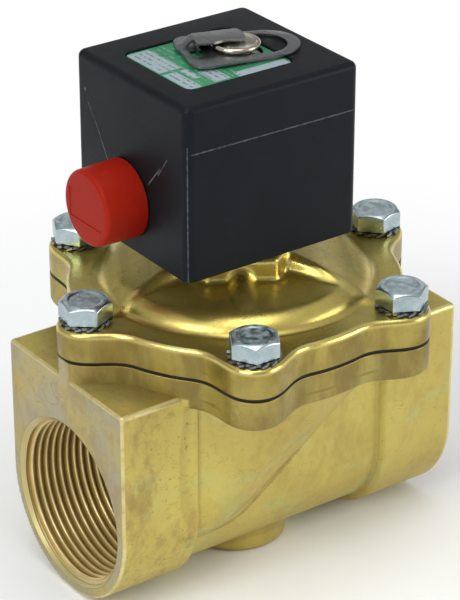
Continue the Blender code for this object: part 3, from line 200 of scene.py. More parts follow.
class ShaderTree(NodeTree):
    """Writer with the nodes that the finishes share."""

    def place(self, scale: Place = (1.0, 1.0, 1.0), turn: float = 0.0) -> Link:
        """Object coordinates, stretched and turned.

        Args:
            scale: Stretch along each axis.
            turn: Turn about Y in degrees.

        Returns:
            The vector's socket.
        """
        where = self.add("ShaderNodeTexCoord").outputs["Object"]
        if scale == (1.0, 1.0, 1.0) and not turn:
            return where
        inputs = {"Vector": where, "Rotation": (0.0, math.radians(turn), 0.0), "Scale": scale}
        return self.out("ShaderNodeMapping", inputs)

    def cloud(
        self, where: Link, scale: Socket, detail: float, roughness: float = 0.5, warp: float = 0.0
    ) -> Link:
        """Noise of a scale, with octaves, their weight and a distortion."""
        inputs = {"Scale": scale, "Detail": detail, "Roughness": roughness, "Distortion": warp}
        return self.out("ShaderNodeTexNoise", {"Vector": where, **inputs})

    def noise(self, where: Link, grain: float, detail: float = 4.0) -> Link:
        """Noise with features of a size in metres."""
        return self.cloud(where, 1.0 / grain, detail, 0.55)

    def mix(self, share: Socket, first: object, second: object) -> Link:
        """Mix two colours.

        Args:
            share: Weight of the second.
            first, second: Colours or sockets.

        Returns:
            The mixed colour's socket.
        """
        node = self.add("ShaderNodeMix", data_type="RGBA")
        for key, value in ((0, share), (6, first), (7, second)):
            self.feed(node.inputs[key], (*value, 1.0) if isinstance(value, tuple) else value)
        return node.outputs[2]

    def bump(self, height: Link, depth: float, below: Link | None = None) -> Link:
        """Bump normal from a height.

        Args:
            height: Height socket, 0 to 1.
            depth: Depth in metres.
            below: Normal that this one lies on.

        Returns:
            The normal's socket.
        """
        inputs = {"Height": height, "Distance": depth, "Strength": 1.0}
        if below is not None:
            inputs["Normal"] = below
        return self.out("ShaderNodeBump", inputs)

    def shade(self, **values: object) -> None:
        """Set or link inputs of the Principled shader.

        Args:
            values: Input names, with underscores for spaces, and their values.
        """
        shader = self.tree.nodes["Principled BSDF"]
        for name, value in values.items():
            self.feed(shader.inputs[name.replace("_", " ")], value)


class GeometryTree(NodeTree):
    """Geometry node group with named inputs, run once on an empty mesh to make a piece."""

    def __init__(self, name: str) -> None:
        """Start a group with one geometry output.

        Args:
            name: Name of the group.
        """
        super().__init__(bpy.data.node_groups.new(name, "GeometryNodeTree"))
        self.tree.interface.new_socket("Geometry", in_out="OUTPUT", socket_type="NodeSocketGeometry")
        self.entry = self.add("NodeGroupInput")
        self.exit = self.add("NodeGroupOutput")

    def declare(self, name: str, kind: str = "Float") -> Link:
        """Named input that each use of the tree sets, by Blender's word for its kind."""
        self.tree.interface.new_socket(name, in_out="INPUT", socket_type=f"NodeSocket{kind}")
        return self.entry.outputs[name]

    def numbers(self, *names: str) -> list[Link]:
        """Several number inputs at once."""
        return [self.declare(name) for name in names]

    def moved(self, geometry: Link, **inputs: Link) -> Link:
        """Geometry after a Translation, a Rotation or both."""
        return self.out("GeometryNodeTransform", {"Geometry": geometry, **inputs})

    def seated(self, geometry: Link) -> Link:
        """Geometry at the place X, Y, Z, turned about its own axis by Turn."""
        turn, *place = self.numbers("Turn", "X", "Y", "Z")
        return self.moved(geometry, Translation=self.vector(*place), Rotation=self.vector(z=turn))

    def solid(self, operation: str, *parts: Link, base: Link | None = None) -> Link:
        """Combine closed meshes.

        Args:
            operation: Boolean operation.
            parts: Meshes that are combined, or cut from the base.
            base: Mesh that is cut.

        Returns:
            The result's socket.
        """
        node = self.add("GeometryNodeMeshBoolean", operation=operation, solver="EXACT")
        if base is not None:
            self.feed(node.inputs["Mesh 1"], base)
        for part in parts:
            self.feed(node.inputs["Mesh 2"], part)
        return node.outputs[0]

    def close(self, geometry: Link) -> None:
        """Realize the result, give it its material and end the tree.

        Args:
            geometry: Finished geometry.
        """
        inputs = {
            "Geometry": self.out("GeometryNodeRealizeInstances", {0: geometry}),
            "Material": self.declare("Finish", "Material"),
        }
        self.feed(self.exit.inputs[0], self.out("GeometryNodeSetMaterial", inputs))

    def run(self, name: str, finish: "Finish", **values: float) -> Mesh:
        """Evaluate the tree into a plain mesh.

        Args:
            name: Name of the mesh.
            finish: Finish of the result.
            values: Input names, with underscores for spaces, and their values.

        Returns:
            A welded mesh with outward faces.
        """
        carrier = linked(name, bpy.data.meshes.new(name))
        modifier = carrier.modifiers.new(name, "NODES")
        modifier.node_group = self.tree
        wanted = {key.replace("_", " "): value for key, value in values.items()}
        wanted["Finish"] = finish.material()
        for item in self.tree.interface.items_tree:
            if item.in_out == "INPUT":
                modifier[item.identifier] = wanted[item.name]
        mesh = evaluated_mesh(carrier, name)
        bpy.data.objects.remove(carrier, do_unlink=True)
        return welded(mesh)


# Mesh helpers


def linked(name: str, data: bpy.types.ID) -> bpy.types.Object:
    """Put a new object in the scene.

    Args:
        name: Name of the object.
        data: Mesh, lamp or camera that it shows.

    Returns:
        The object, at the origin.
    """
    item = bpy.data.objects.new(name, data)
    bpy.context.scene.collection.objects.link(item)
    return item


def evaluated_mesh(item: bpy.types.Object, name: str) -> Mesh:
    """Copy an object's evaluated shape into a plain mesh.

    Args:
        item: Object with its modifiers.
        name: Name of the new mesh.

    Returns:
        The mesh, in the object's own space.
    """
    bpy.context.view_layer.update()
    shown = item.evaluated_get(bpy.context.evaluated_depsgraph_get())
    mesh = bpy.data.meshes.new_from_object(shown)
    mesh.name = name
    return mesh


def welded(mesh: Mesh, reach: float = 1e-6) -> Mesh:
    """Merge doubled points and turn faces outwards.

    Args:
        mesh: Mesh that is changed.
        reach: Distance under which points merge.

    Returns:
        The same mesh.
    """
    bm = bmesh.new()
    bm.from_mesh(mesh)
    bmesh.ops.remove_doubles(bm, verts=bm.verts, dist=reach)
    bmesh.ops.dissolve_degenerate(bm, dist=reach, edges=bm.edges)
    bmesh.ops.recalc_face_normals(bm, faces=bm.faces)
    bm.to_mesh(mesh)
    bm.free()
    return mesh


def frozen(name: str, bm: bmesh.types.BMesh) -> Mesh:
    """Turn a mesh under construction into a plain one.

    Args:
        name: Name of the mesh.
        bm: Finished construction, which is freed.

    Returns:
        The plain mesh.
    """
    mesh = bpy.data.meshes.new(name)
    bm.to_mesh(mesh)
    bm.free()
    return mesh


def lathe(name: str, outline: Sequence[Point], steps: int = 96) -> Mesh:
    """Revolve an (r, z) outline about Z.

    Args:
        name: Name of the mesh.
        outline: Points from the axis back to the axis, or a closed ring.
        steps: Facets round the axis.

    Returns:
        A closed mesh.
    """
    bm = bmesh.new()
    points = [bm.verts.new((radius, 0.0, height)) for radius, height in outline]
    edges = [bm.edges.new(pair) for pair in zip(points, points[1:])]
    if outline[0][0] > 0:
        edges.append(bm.edges.new((points[-1], points[0])))
    bmesh.ops.spin(
        bm, geom=points + edges, angle=math.tau, steps=steps, axis=(0, 0, 1), cent=(0, 0, 0), use_merge=True,
    )
    return welded(frozen(name, bm))


def skin(name: str, rings: Sequence[Sequence[Place]], closed: bool = False) -> Mesh:
    """Close a mesh over rings of points that share one count.

    Args:
        name: Name of the mesh.
        rings: Rings of points from one end to the other.
        closed: Whether the last ring runs back into the first.

    Returns:
        A closed mesh, with a flat cap at each end unless it runs back.
    """
    bm = bmesh.new()
    loops = [[bm.verts.new(point) for point in ring] for ring in rings]
    ends = loops[1:] + loops[:1] if closed else loops[1:]
    for loop, following in zip(loops, ends):
        for index in range(len(loop)):
            ahead = (index + 1) % len(loop)
            bm.faces.new((loop[index], loop[ahead], following[ahead], following[index]))
    if not closed:
        bm.faces.new(loops[0][::-1])
        bm.faces.new(loops[-1])
    return welded(frozen(name, bm))


def arc(centre: Point, radius: float, start: float, end: float, steps: int) -> list[Point]:
    """Points of an arc between two angles in degrees, both ends included."""
    angles = np.radians(np.linspace(start, end, steps + 1))
    return [(centre[0] + radius * math.cos(a), centre[1] + radius * math.sin(a)) for a in angles]


def rounded_box(
    half_x: float, half_y: float, corner: float, centre: Point = (0.0, 0.0), steps: int = 8
) -> list[Point]:
    """Points of a rectangle with round corners.

    Args:
        half_x, half_y: Half of its length and of its width.
        corner: Corner radius.
        centre: Its centre.
        steps: Chords in each corner.

    Returns:
        Points round the outline.
    """
    points: list[Point] = []
    for quarter, (side_x, side_y) in enumerate(((1, 1), (-1, 1), (-1, -1), (1, -1))):
        middle = (centre[0] + side_x * (half_x - corner), centre[1] + side_y * (half_y - corner))
        points += arc(middle, corner, 90 * quarter, 90 * quarter + 90, steps)
    return points


def eased_rings(
    outline: Callable[[float], Sequence[Point]], bottom: float, top: float,
    ease_low: float, ease_high: float, steps: int = 5,
) -> list[list[Place]]:
    """Rings of a slab with rounded edges.

    Args:
        outline: Outline for an inset.
        bottom, top: Heights of its faces.
        ease_low, ease_high: Rounding of the lower and the upper edge.
        steps: Chords in each rounding.

    Returns:
        Rings from the bottom to the top.
    """
    turns = np.linspace(0.0, math.pi / 2, steps + 1)
    layers = [(bottom + ease_low * (1 - math.cos(t)), ease_low * (1 - math.sin(t))) for t in turns]
    layers += [(top - ease_high * (1 - math.cos(t)), ease_high * (1 - math.sin(t))) for t in turns[::-1]]
    return [[(x, y, z) for x, y in outline(inset)] for z, inset in layers]


def slab(name: str, outline: Sequence[Point], bottom: float, top: float) -> Mesh:
    """Upright prism on an outline, between two heights."""
    return skin(name, [[(x, y, z) for x, y in outline] for z in (bottom, top)])


def strip(name: str, path: Sequence[Point], sheet: float, width: float) -> Mesh:
    """Band of sheet that follows a path in X and Z.

    Args:
        name: Name of the mesh.
        path: Points (x, z) of the sheet's middle.
        sheet: Its thickness.
        width: Its width along Y.

    Returns:
        A closed mesh.
    """
    points = np.array(path)
    ahead = np.gradient(points, axis=0)
    normal = np.stack([-ahead[:, 1], ahead[:, 0]], axis=1)
    normal *= sheet / 2 / np.linalg.norm(normal, axis=1)[:, None]
    rings = []
    for (x, z), (dx, dz) in zip(points, normal):
        corners = ((1, -1), (1, 1), (-1, 1), (-1, -1))
        rings.append([(x + side * dx, half * width / 2, z + side * dz) for side, half in corners])
    return skin(name, rings)


def bevelled(mesh: Mesh, width: float, angle: float) -> Mesh:
    """Ease the edges of a mesh.

    Args:
        mesh: Closed mesh.
        width: Width of the eased edge.
        angle: Least angle in degrees of an edge that is eased.

    Returns:
        The new mesh.
    """
    item = linked(mesh.name, mesh)
    modifier = item.modifiers.new("ease", "BEVEL")
    modifier.width = width
    modifier.segments = 3
    modifier.limit_method = "ANGLE"
    modifier.angle_limit = math.radians(angle)
    result = evaluated_mesh(item, mesh.name)
    bpy.data.objects.remove(item, do_unlink=True)
    return result


def carve(mesh: Mesh, cutters: Iterable[Mesh], operation: str = "DIFFERENCE") -> Mesh:
    """Cut meshes out of a mesh, or join them to it, with crisp edges.

    Args:
        mesh: Closed mesh.
        cutters: Closed meshes.
        operation: Boolean operation.

    Returns:
        The new mesh.
    """
    target = linked(mesh.name, mesh)
    tools = [linked(cutter.name, cutter) for cutter in cutters]
    for tool in tools:
        modifier = target.modifiers.new(tool.name, "BOOLEAN")
        modifier.operation = operation
        modifier.object = tool
        modifier.solver = "MANIFOLD"
        modifier.material_mode = "TRANSFER"
    result = evaluated_mesh(target, mesh.name)
    for item in (*tools, target):
        bpy.data.objects.remove(item, do_unlink=True)
    return result


def smooth(mesh: Mesh, crease: float = 38.0) -> Mesh:
    """Shade a mesh smooth, with sharp edges over an angle.

    Args:
        mesh: Mesh that is changed.
        crease: Angle in degrees.

    Returns:
        The same mesh.
    """
    mesh.polygons.foreach_set("use_smooth", np.ones(len(mesh.polygons), bool))
    mesh.set_sharp_from_angle(angle=math.radians(crease))
    return mesh


def towards_x(mesh: Mesh, side: int, origin: Sequence[float]) -> Mesh:
    """Turn a mesh from Z onto +X or -X, by the sign of a side, and set its origin down at a place."""
    mesh.transform(Matrix.Translation(origin) @ Matrix.Rotation(side * math.pi / 2, 4, "Y"))
    return mesh


def round_bar(
    name: str, radius: float, low: float, high: float, centre: Point = (0.0, 0.0), steps: int = 64
) -> Mesh:
    """Plain upright cylinder for cutting.

    Args:
        name: Name of the mesh.
        radius: Its radius.
        low, high: Heights of its ends.
        centre: Its place in X and Y.
        steps: Facets.

    Returns:
        A closed mesh.
    """
    mesh = lathe(name, [(0.0, high), (radius, high), (radius, low), (0.0, low)], steps)
    mesh.transform(Matrix.Translation((*centre, 0.0)))
    return mesh


def middle(node: str) -> Vector:
    """Centre of a solid's box."""
    low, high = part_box(node)
    return (low + high) / 2


def add_piece(
    name: str, mesh: Mesh, finish: "Finish", body: Body, slot: str, nodes: Sequence[str] = ()
) -> bpy.types.Object:
    """Link a finished mesh as a piece of the valve.

    Args:
        name: Name of the piece.
        mesh: Mesh in the frame's own place.
        finish: Its finish.
        body: Body that carries it.
        slot: Name of a material slot; not used.
        nodes: Solids that it stands for.

    Returns:
        The new object.
    """
    mesh.materials.clear()
    mesh.materials.append(finish.material())
    item = linked(name, mesh)
    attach(item, body.value)
    if nodes:
        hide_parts(*nodes)
    LOG.info("%s: %d faces on %s", name, len(mesh.polygons), body.value)
    return item


# Cast forms as distance fields


def round_union(first: Array, second: Array, radius: float) -> Array:
    """Union of two distances, with a fillet of a radius."""
    hollow = np.hypot(np.maximum(radius - first, 0.0), np.maximum(radius - second, 0.0))
    return np.maximum(radius, np.minimum(first, second)) - hollow


def round_common(first: Array, second: Array, radius: float) -> Array:
    """Intersection of two distances, with an edge rounded to a radius."""
    return -round_union(-first, -second, radius)


def turned(x: Array, y: Array, degrees: float) -> tuple[Array, Array]:
    """Distances of points along and across a direction in the plane of X and Y."""
    cos, sin = math.cos(math.radians(degrees)), math.sin(math.radians(degrees))
    return x * cos + y * sin, y * cos - x * sin


def ease(low: float, high: float, value: Array) -> Array:
    """Smooth step from 0 at low to 1 at high."""
    share = np.clip((value - low) / (high - low), 0.0, 1.0)
    return share * share * (3 - 2 * share)


def skin_field(
    name: str, form: Field, low: Sequence[float], high: Sequence[float], step: float
) -> Mesh:
    """Lay a quad skin over the zero level of a distance field.

    Args:
        name: Name of the mesh.
        form: Distance field.
        low: Lowest corner of the sampled box, outside the form.
        high: Highest corner, outside the form.
        step: Sample spacing.

    Returns:
        A closed mesh with an "edge" attribute: positive on ridges, negative in hollows.
    """
    axes = [np.arange(a, b + step, step) for a, b in zip(low, high)]
    values = form(*np.meshgrid(*axes, indexing="ij", sparse=True))
    inside = values < 0
    cells_shape = tuple(n - 1 for n in values.shape)
    corners = list(itertools.product((0, 1), repeat=3))
    total = np.zeros(cells_shape, np.int8)
    for corner in corners:
        total += inside[tuple(slice(c, c + n) for c, n in zip(corner, cells_shape))]
    active = (total > 0) & (total < 8)
    cells = np.argwhere(active)
    samples = np.stack([values[tuple((cells + corner).T)] for corner in corners], axis=1)
    crossing = np.zeros((len(cells), 3))
    hits = np.zeros(len(cells))
    for a, b in itertools.combinations(range(8), 2):
        run = np.subtract(corners[b], corners[a])
        if np.abs(run).sum() != 1:
            continue
        cut = (samples[:, a] < 0) != (samples[:, b] < 0)
        share = samples[cut, a] / (samples[cut, a] - samples[cut, b])
        crossing[cut] += np.array(corners[a]) + share[:, None] * run
        hits[cut] += 1
    points = np.array(low) + (cells + crossing / hits[:, None]) * step
    index = np.full(cells_shape, -1)
    index[active] = np.arange(len(cells))
    quads = []
    for axis in range(3):
        lower = np.take(inside, range(inside.shape[axis] - 1), axis)
        upper = np.take(inside, range(1, inside.shape[axis]), axis)
        for solid_below in (True, False):
            edges = np.argwhere((lower != upper) & (lower == solid_below))
            ring = []
            for along, across in ((-1, -1), (0, -1), (0, 0), (-1, 0)):
                shift = np.zeros(3, int)
                shift[(axis + 1) % 3] = along
                shift[(axis + 2) % 3] = across
                ring.append(index[tuple((edges + shift).T)])
            quads.append(np.stack(ring if solid_below else ring[::-1], axis=1))
    points, edge = settle(points, form, step)
    mesh = bpy.data.meshes.new(name)
    mesh.from_pydata(points, [], np.concatenate(quads))
    mesh.attributes.new("edge", "FLOAT", "POINT").data.foreach_set("value", edge.astype(np.float32))
    return mesh


def settle(points: Array, form: Field, step: float) -> tuple[Array, Array]:
    """Move points onto the zero level and read how the surface bends there.

    Args:
        points: Rows of (x, y, z).
        form: Distance field.
        step: Sample spacing of the skin.

    Returns:
        The moved points, and the bend at each: positive on ridges, negative in hollows.
    """
    reach = step / 2
    bend = np.zeros(len(points))
    for _ in range(3):
        value = form(*points.T)
        slope = np.zeros_like(points)
        bend = -6 * value
        for axis in range(3):
            shift = np.zeros(3)
            shift[axis] = reach
            ahead, behind = form(*(points + shift).T), form(*(points - shift).T)
            slope[:, axis] = (ahead - behind) / (2 * reach)
            bend += ahead + behind
        steep = np.maximum((slope * slope).sum(1), 0.05)
        move = slope * (value / steep)[:, None]
        length = np.linalg.norm(move, axis=1)
        points = points - move * np.minimum(1.0, reach / np.maximum(length, 1e-12))[:, None]
    return points, np.clip(bend / reach**2 * MM, -1.0, 1.0)


@dataclass(frozen=True)
class LobedFlange:
    """Outline that the body, the bonnet and the diaphragm share."""

    rim: float = 46.4 * MM
    lobe: float = 7.9 * MM
    fillet: float = 9.0 * MM
    bolt_circle: float = 49.0 * MM
    bolts: int = 6
    hole: float = 4.27 * MM

    def distance(self, x: Array, y: Array) -> Array:
        """Flat distance to the outline.

        Args:
            x, y: Coordinates of each point.

        Returns:
            Distances, negative inside.
        """
        radius = np.hypot(x, y)
        pitch = math.tau / self.bolts
        folded = np.abs((np.arctan2(y, x) + pitch / 2) % pitch - pitch / 2)
        offset = np.hypot(radius * np.cos(folded) - self.bolt_circle, radius * np.sin(folded))
        return round_union(offset - self.lobe, radius - self.rim, self.fillet)

    def reach(self, angles: Array) -> Array:
        """Radius of the outline at each angle, found by halving.

        Args:
            angles: Angles in radians.

        Returns:
            Radii.
        """
        inner = np.full(angles.shape, self.rim - 1 * MM)
        outer = np.full(angles.shape, self.bolt_circle + 2 * self.lobe)
        for _ in range(40):
            middle = (inner + outer) / 2
            within = self.distance(middle * np.cos(angles), middle * np.sin(angles)) < 0
            inner, outer = np.where(within, middle, inner), np.where(within, outer, middle)
        return inner

    def outline(self, inset: float = 0.0) -> list[Point]:
        """Points round the outline, drawn in towards the axis.

        Args:
            inset: Distance that it is drawn in.

        Returns:
            Points round the outline.
        """
        angles = np.linspace(0.0, math.tau, 360, endpoint=False)
        radii = self.reach(angles) - inset
        return list(zip(radii * np.cos(angles), radii * np.sin(angles)))

    def holes(self, low: float, high: float) -> list[Mesh]:
        """Cutters for the bolt holes, the first on the outlet side, between two heights."""
        places = arc((0.0, 0.0), self.bolt_circle, 0, 360, self.bolts)[:-1]
        return [round_bar(f"hole_{n}", self.hole, low, high, place, 32) for n, place in enumerate(places)]


FLANGE = LobedFlange()


# Finishes


def write_stain(tree: ShaderTree, where: Link, scale: Link, cover: Link) -> Link:
    """Write patches with ragged edges.

    Args:
        tree: Group that is written.
        where: Coordinates.
        scale: Patches per metre.
        cover: Share of the surface that they cover.

    Returns:
        The mask.
    """
    broad = tree.cloud(where, scale, 6.0, 0.62, 0.4)
    speck = tree.cloud(where, tree.times(scale, 7.0), 5.0, 0.7)
    mixed = tree.line(speck, 0.35, tree.times(broad, 0.65))
    edge = tree.minus(0.72, tree.times(cover, 0.42))
    return tree.ramp(mixed, tree.minus(edge, 0.09), tree.plus(edge, 0.09))


def write_grain(tree: ShaderTree, where: Link, scale: Link, waves: Link) -> Link:
    """Write the skin of a sand casting or a moulding: fine grains over a soft waviness.

    Args:
        tree: Group that is written.
        where: Coordinates.
        scale: Grains per metre.
        waves: Weight of the waviness.

    Returns:
        The height.
    """
    fine = tree.cloud(where, scale, 3.0, 0.6)
    broad = tree.cloud(where, tree.times(scale, 0.08), 2.0)
    return tree.line(broad, waves, fine)


def write_scratches(tree: ShaderTree, where: Link, scale: Link, least: Link) -> Link:
    """Write sparse straight scratches in two directions: the peaks of a noise drawn out lengthwise.

    Args:
        tree: Group that is written.
        where: Coordinates.
        scale: Scratches per metre.
        least: Height over which a peak shows.

    Returns:
        The mask.
    """
    masks = []
    for turn, stretch in ((0.55, 0.03), (-0.95, 0.05)):
        drawn = tree.out("ShaderNodeMapping", {
            "Vector": where, "Rotation": (turn, turn * 1.7, turn * 0.6), "Scale": (1.0, stretch, 1.0),
        })
        masks.append(tree.ramp(tree.cloud(drawn, scale, 0.0), least, tree.plus(least, 0.06)))
    return tree.most(*masks)


def write_veins(tree: ShaderTree, where: Link, scale: Link, width: Link) -> Link:
    """Write thin wandering lines, broken here and there, like laps and seams in a cast skin.

    Args:
        tree: Group that is written.
        where: Coordinates.
        scale: Lines per metre.
        width: Share of the noise that a line takes up.

    Returns:
        The mask.
    """
    near = tree.size(tree.minus(tree.cloud(where, scale, 2.0), 0.5))
    shown = tree.ramp(tree.cloud(where, tree.times(scale, 0.45), 2.0), 0.50, 0.62)
    return tree.times(tree.ramp(near, 0.0, width, 1.0, 0.0), shown)


class Effect(Enum):
    """Node groups that several finishes use: their number inputs, their output and their writer."""

    STAIN = (("Scale", "Cover"), "Mask", write_stain)
    GRAIN = (("Scale", "Waves"), "Height", write_grain)
    SCRATCHES = (("Scale", "Least"), "Mask", write_scratches)
    VEINS = (("Scale", "Width"), "Mask", write_veins)

    def group(self) -> bpy.types.NodeTree:
        """Shader node group of the effect, built on first use.

        Returns:
            The group.
        """
        found = bpy.data.node_groups.get(self.name.lower())
        if found:
            return found
        inputs, output, write = self.value
        tree = ShaderTree(bpy.data.node_groups.new(self.name.lower(), "ShaderNodeTree"))
        face = tree.tree.interface
        face.new_socket("Vector", in_out="INPUT", socket_type="NodeSocketVector")
        for label in inputs:
            face.new_socket(label, in_out="INPUT", socket_type="NodeSocketFloat")
        face.new_socket(output, in_out="OUTPUT", socket_type="NodeSocketFloat")
        entry, leave = tree.add("NodeGroupInput").outputs, tree.add("NodeGroupOutput")
        tree.feed(leave.inputs[0], write(tree, entry["Vector"], *(entry[label] for label in inputs)))
        return tree.tree

    def use(self, tree: ShaderTree, where: Link, **values: Socket) -> Link:
        """Place the group in a material, with its inputs by their names in small letters."""
        inputs = {label: values[label.lower()] for label in self.value[0]}
        return tree.out("ShaderNodeGroup", {"Vector": where, **inputs}, node_tree=self.group())


@dataclass(frozen=True)
class Finish:
    """Base of all finishes: a named material with its own nodes."""

    name: str

    def material(self) -> bpy.types.Material:
        """Material of this finish, made on first use.

        Returns:
            The material.
        """
        name = f"finish_{self.name}"
        made = bpy.data.materials.get(name)
        if not made:
            made = bpy.data.materials.new(name)
            made.use_nodes = True
            self.write(ShaderTree(made.node_tree))
        return made

    def write(self, tree: ShaderTree) -> None:
        """Write the nodes into the material's tree."""
        raise NotImplementedError


@dataclass(frozen=True)
class CastBrass(Finish):
    """Cast brass: smudged, worn ridges with a painted highlight, dark in hollows, painted shade in a crease,
    turned end faces, and painted shade and reflections on the flange walls.
    """

    clean: Colour = (0.585, 0.485, 0.125)
    dull: Colour = (0.53, 0.42, 0.115)
    green: Colour = (0.50, 0.52, 0.20)
    # stain also colours the painted shade along the bowl's crease.
    stain: Colour = (0.27, 0.155, 0.05)
    # Colour of worn edges and of the painted highlight along ridges.
    worn_highlight: Colour = (0.80, 0.71, 0.38)
    turned: Colour = (0.42, 0.375, 0.235)
    # skin is the colour of the painted shade and dark reflections on the flange walls, over the block top and
    # at the gasket.
    skin: Colour = (0.195, 0.138, 0.036)
    roughness: float = 0.44
    metallic: float = 0.72
    cover: float = 0.37
    smudge: float = 0.30
    edge_wear_and_highlight: float = 0.65
    hollow: float = 0.22
    # Strength of the painted shade along the bowl's crease.
    crease: float = 0.0
    # Least and most share of painted shade and reflection on the flange walls.
    age: Point = (0.42, 0.88)
    handled: float = 0.32
    grain_depth: float = 0.045 * MM
    faced_at: float = 1.0
    worn_highlight_above: float = 64.5 * MM
    worn_highlight_beyond: float = 54.5 * MM
    axis_z: float = 27.7 * MM
    joint: float = 72.625 * MM
    flange_low: float = 63.2 * MM
    flange_high: float = 73.0 * MM
    block_top: float = 66.9 * MM
    block_half: float = 28.6 * MM

    def write(self, tree: ShaderTree) -> None:
        """Write the nodes.

        Args:
            tree: Material's tree.
        """
        where = tree.place()
        edge = tree.add("ShaderNodeAttribute", attribute_name="edge").outputs["Fac"]
        broad = tree.ramp(tree.noise(where, 30 * MM, 3.0), 0.34, 0.68)
        stain = self.smudges(tree, where)
        height = Effect.GRAIN.use(tree, where, scale=1 / (0.6 * MM), waves=2.6)
        # Edges rubbed bright, together with a painted highlight along the ridges.
        worn = tree.ramp(tree.noise(where, 4 * MM), 0.3, 0.6, 0.35 * self.edge_wear_and_highlight, self.edge_wear_and_highlight)
        axes = tree.axes(where)
        upper = tree.ramp(axes[2], self.worn_highlight_above, self.worn_highlight_above + 1 * MM)
        outer = tree.ramp(tree.size(axes[0]), self.worn_highlight_beyond, self.worn_highlight_beyond + 1 * MM)
        worn = tree.times(worn, tree.most(upper, outer))
        worn_highlight = tree.times(tree.ramp(edge, 0.16, 0.6), worn)
        hollow = tree.ramp(tree.times(edge, -1.0), 0.03, 0.4)
        flange_shade = self.flange_shade(tree, where)
        colour = tree.mix(broad, self.clean, self.dull)
        # Pale greenish patches, laid at random.
        greenish_patches = tree.ramp(tree.noise(tree.place((1.0, 1.0, 1.6)), 17 * MM, 3.0), 0.50, 0.70, 0.0, 0.6)
        colour = tree.mix(greenish_patches, colour, self.green)
        colour = tree.mix(stain, colour, self.stain)
        colour = tree.mix(tree.times(hollow, self.hollow), colour, self.stain)
        # Painted shade along the concave crease where the bowl meets the run.
        if self.crease:
            inner = tree.ramp(tree.size(axes[0]), 27 * MM, 30 * MM, self.crease, 0.0)
            belly = tree.times(tree.ramp(axes[2], 10 * MM, 16 * MM), inner)
            crease_shade = tree.ramp(tree.noise(where, 5 * MM, 4.0), 0.34, 0.62, 0.2, 1.0)
            crease_shade = tree.times(crease_shade, tree.times(hollow, belly))
            colour = tree.mix(crease_shade, colour, self.stain)
        # Painted shade and dark reflections on the flange walls and over the block top, grime and painted
        # shade at the gasket.
        colour = tree.mix(flange_shade, colour, self.skin)
        colour = tree.mix(worn_highlight, colour, self.worn_highlight)
        rough = tree.line(stain, 0.2, tree.line(broad, 0.06, self.roughness))
        rough = tree.minus(rough, tree.times(worn_highlight, 0.15))
        normal = tree.bump(height, self.grain_depth)
        faced, mark = self.facing(tree, where)
        pale = tree.mix(tree.ramp(tree.noise(where, 14 * MM, 5.0), 0.40, 0.75), self.turned, self.dull)
        smear = tree.line(mark, 0.05, tree.line(stain, 0.6, 0.05))
        pale = tree.mix(smear, pale, self.stain)
        tree.shade(
            Base_Color=tree.mix(faced, colour, pale),
            Roughness=tree.line(faced, -0.06, rough),
            Normal=tree.bump(tree.times(mark, faced), 0.004 * MM, normal),
        )
        shine = tree.line(worn_highlight, 0.2, self.metallic)
        tree.shade(Metallic=tree.minus(shine, tree.times(stain, 0.3)))

    def flange_shade(self, tree: ShaderTree, where: Link) -> Link:
        """Painted shade and dark reflections on the flange walls and over the block top, and grime with
        painted shade at the gasket.

        Args:
            tree: Material's tree.
            where: Coordinates.

        Returns:
            The share of the painted shade colour.
        """
        axes = tree.axes(where)
        foot = tree.ramp(axes[2], self.flange_low, self.flange_low + 0.5 * MM)
        head = tree.ramp(axes[2], self.flange_high - 1.2 * MM, self.flange_high, 1.0, 0.0)
        above = tree.ramp(axes[2], self.block_top, self.block_top + 0.1 * MM)
        beside = tree.ramp(tree.size(axes[1]), self.block_half, self.block_half + 1 * MM)
        wall = tree.times(tree.times(foot, head), tree.most(above, beside))
        # Streaks of painted dark reflection down the walls.
        reflection_streak = tree.ramp(tree.noise(tree.place((1.0, 1.0, 0.45)), 9 * MM, 5.0), 0.34, 0.64, *self.age)
        radius = tree.hypot(axes[0], axes[1])
        # Painted shade in the corner where the block top meets the flange.
        corner = tree.ramp(radius, 47 * MM, 60 * MM, 0.75, 0.0)
        ledge = tree.ramp(tree.size(tree.minus(axes[2], self.block_top)), 0.3 * MM, 0.7 * MM, 1.0, 0.0)
        corner = tree.times(corner, ledge)
        # Grime and painted shade along the gasket joint.
        joint_grime_and_shade = tree.ramp(tree.size(tree.minus(axes[2], self.joint)), 0.5 * MM, 0.8 * MM, 0.95, 0.0)
        return tree.most(tree.most(tree.times(wall, reflection_streak), corner), joint_grime_and_shade)

    def smudges(self, tree: ShaderTree, where: Link) -> Link:
        """Brown handling marks: faint patches and freckles, with thin wandering lines among them.

        Args:
            tree: Material's tree.
            where: Coordinates.

        Returns:
            The share of brown.
        """
        along = tree.place((1.0, 1.0, 0.6), 30.0)
        patch = Effect.STAIN.use(tree, along, scale=1 / (20 * MM), cover=self.cover)
        small = Effect.STAIN.use(tree, where, scale=1 / (4 * MM), cover=0.34)
        freckles = tree.ramp(tree.noise(where, 1.3 * MM, 2.0), 0.66, 0.76)
        across = tree.place((1.0, 1.0, 1.7), -20.0)
        veins = Effect.VEINS.use(tree, across, scale=1 / (11 * MM), width=0.010)
        spots = tree.most(tree.times(small, 0.8), tree.times(freckles, 1.3))
        marks = tree.most(tree.most(patch, spots), tree.times(veins, 1.3))
        near_inlet = tree.ramp(tree.axes(where)[0], -36 * MM, -30 * MM, self.handled, 0.0)
        return tree.times(marks, tree.plus(near_inlet, self.smudge), clamp=True)

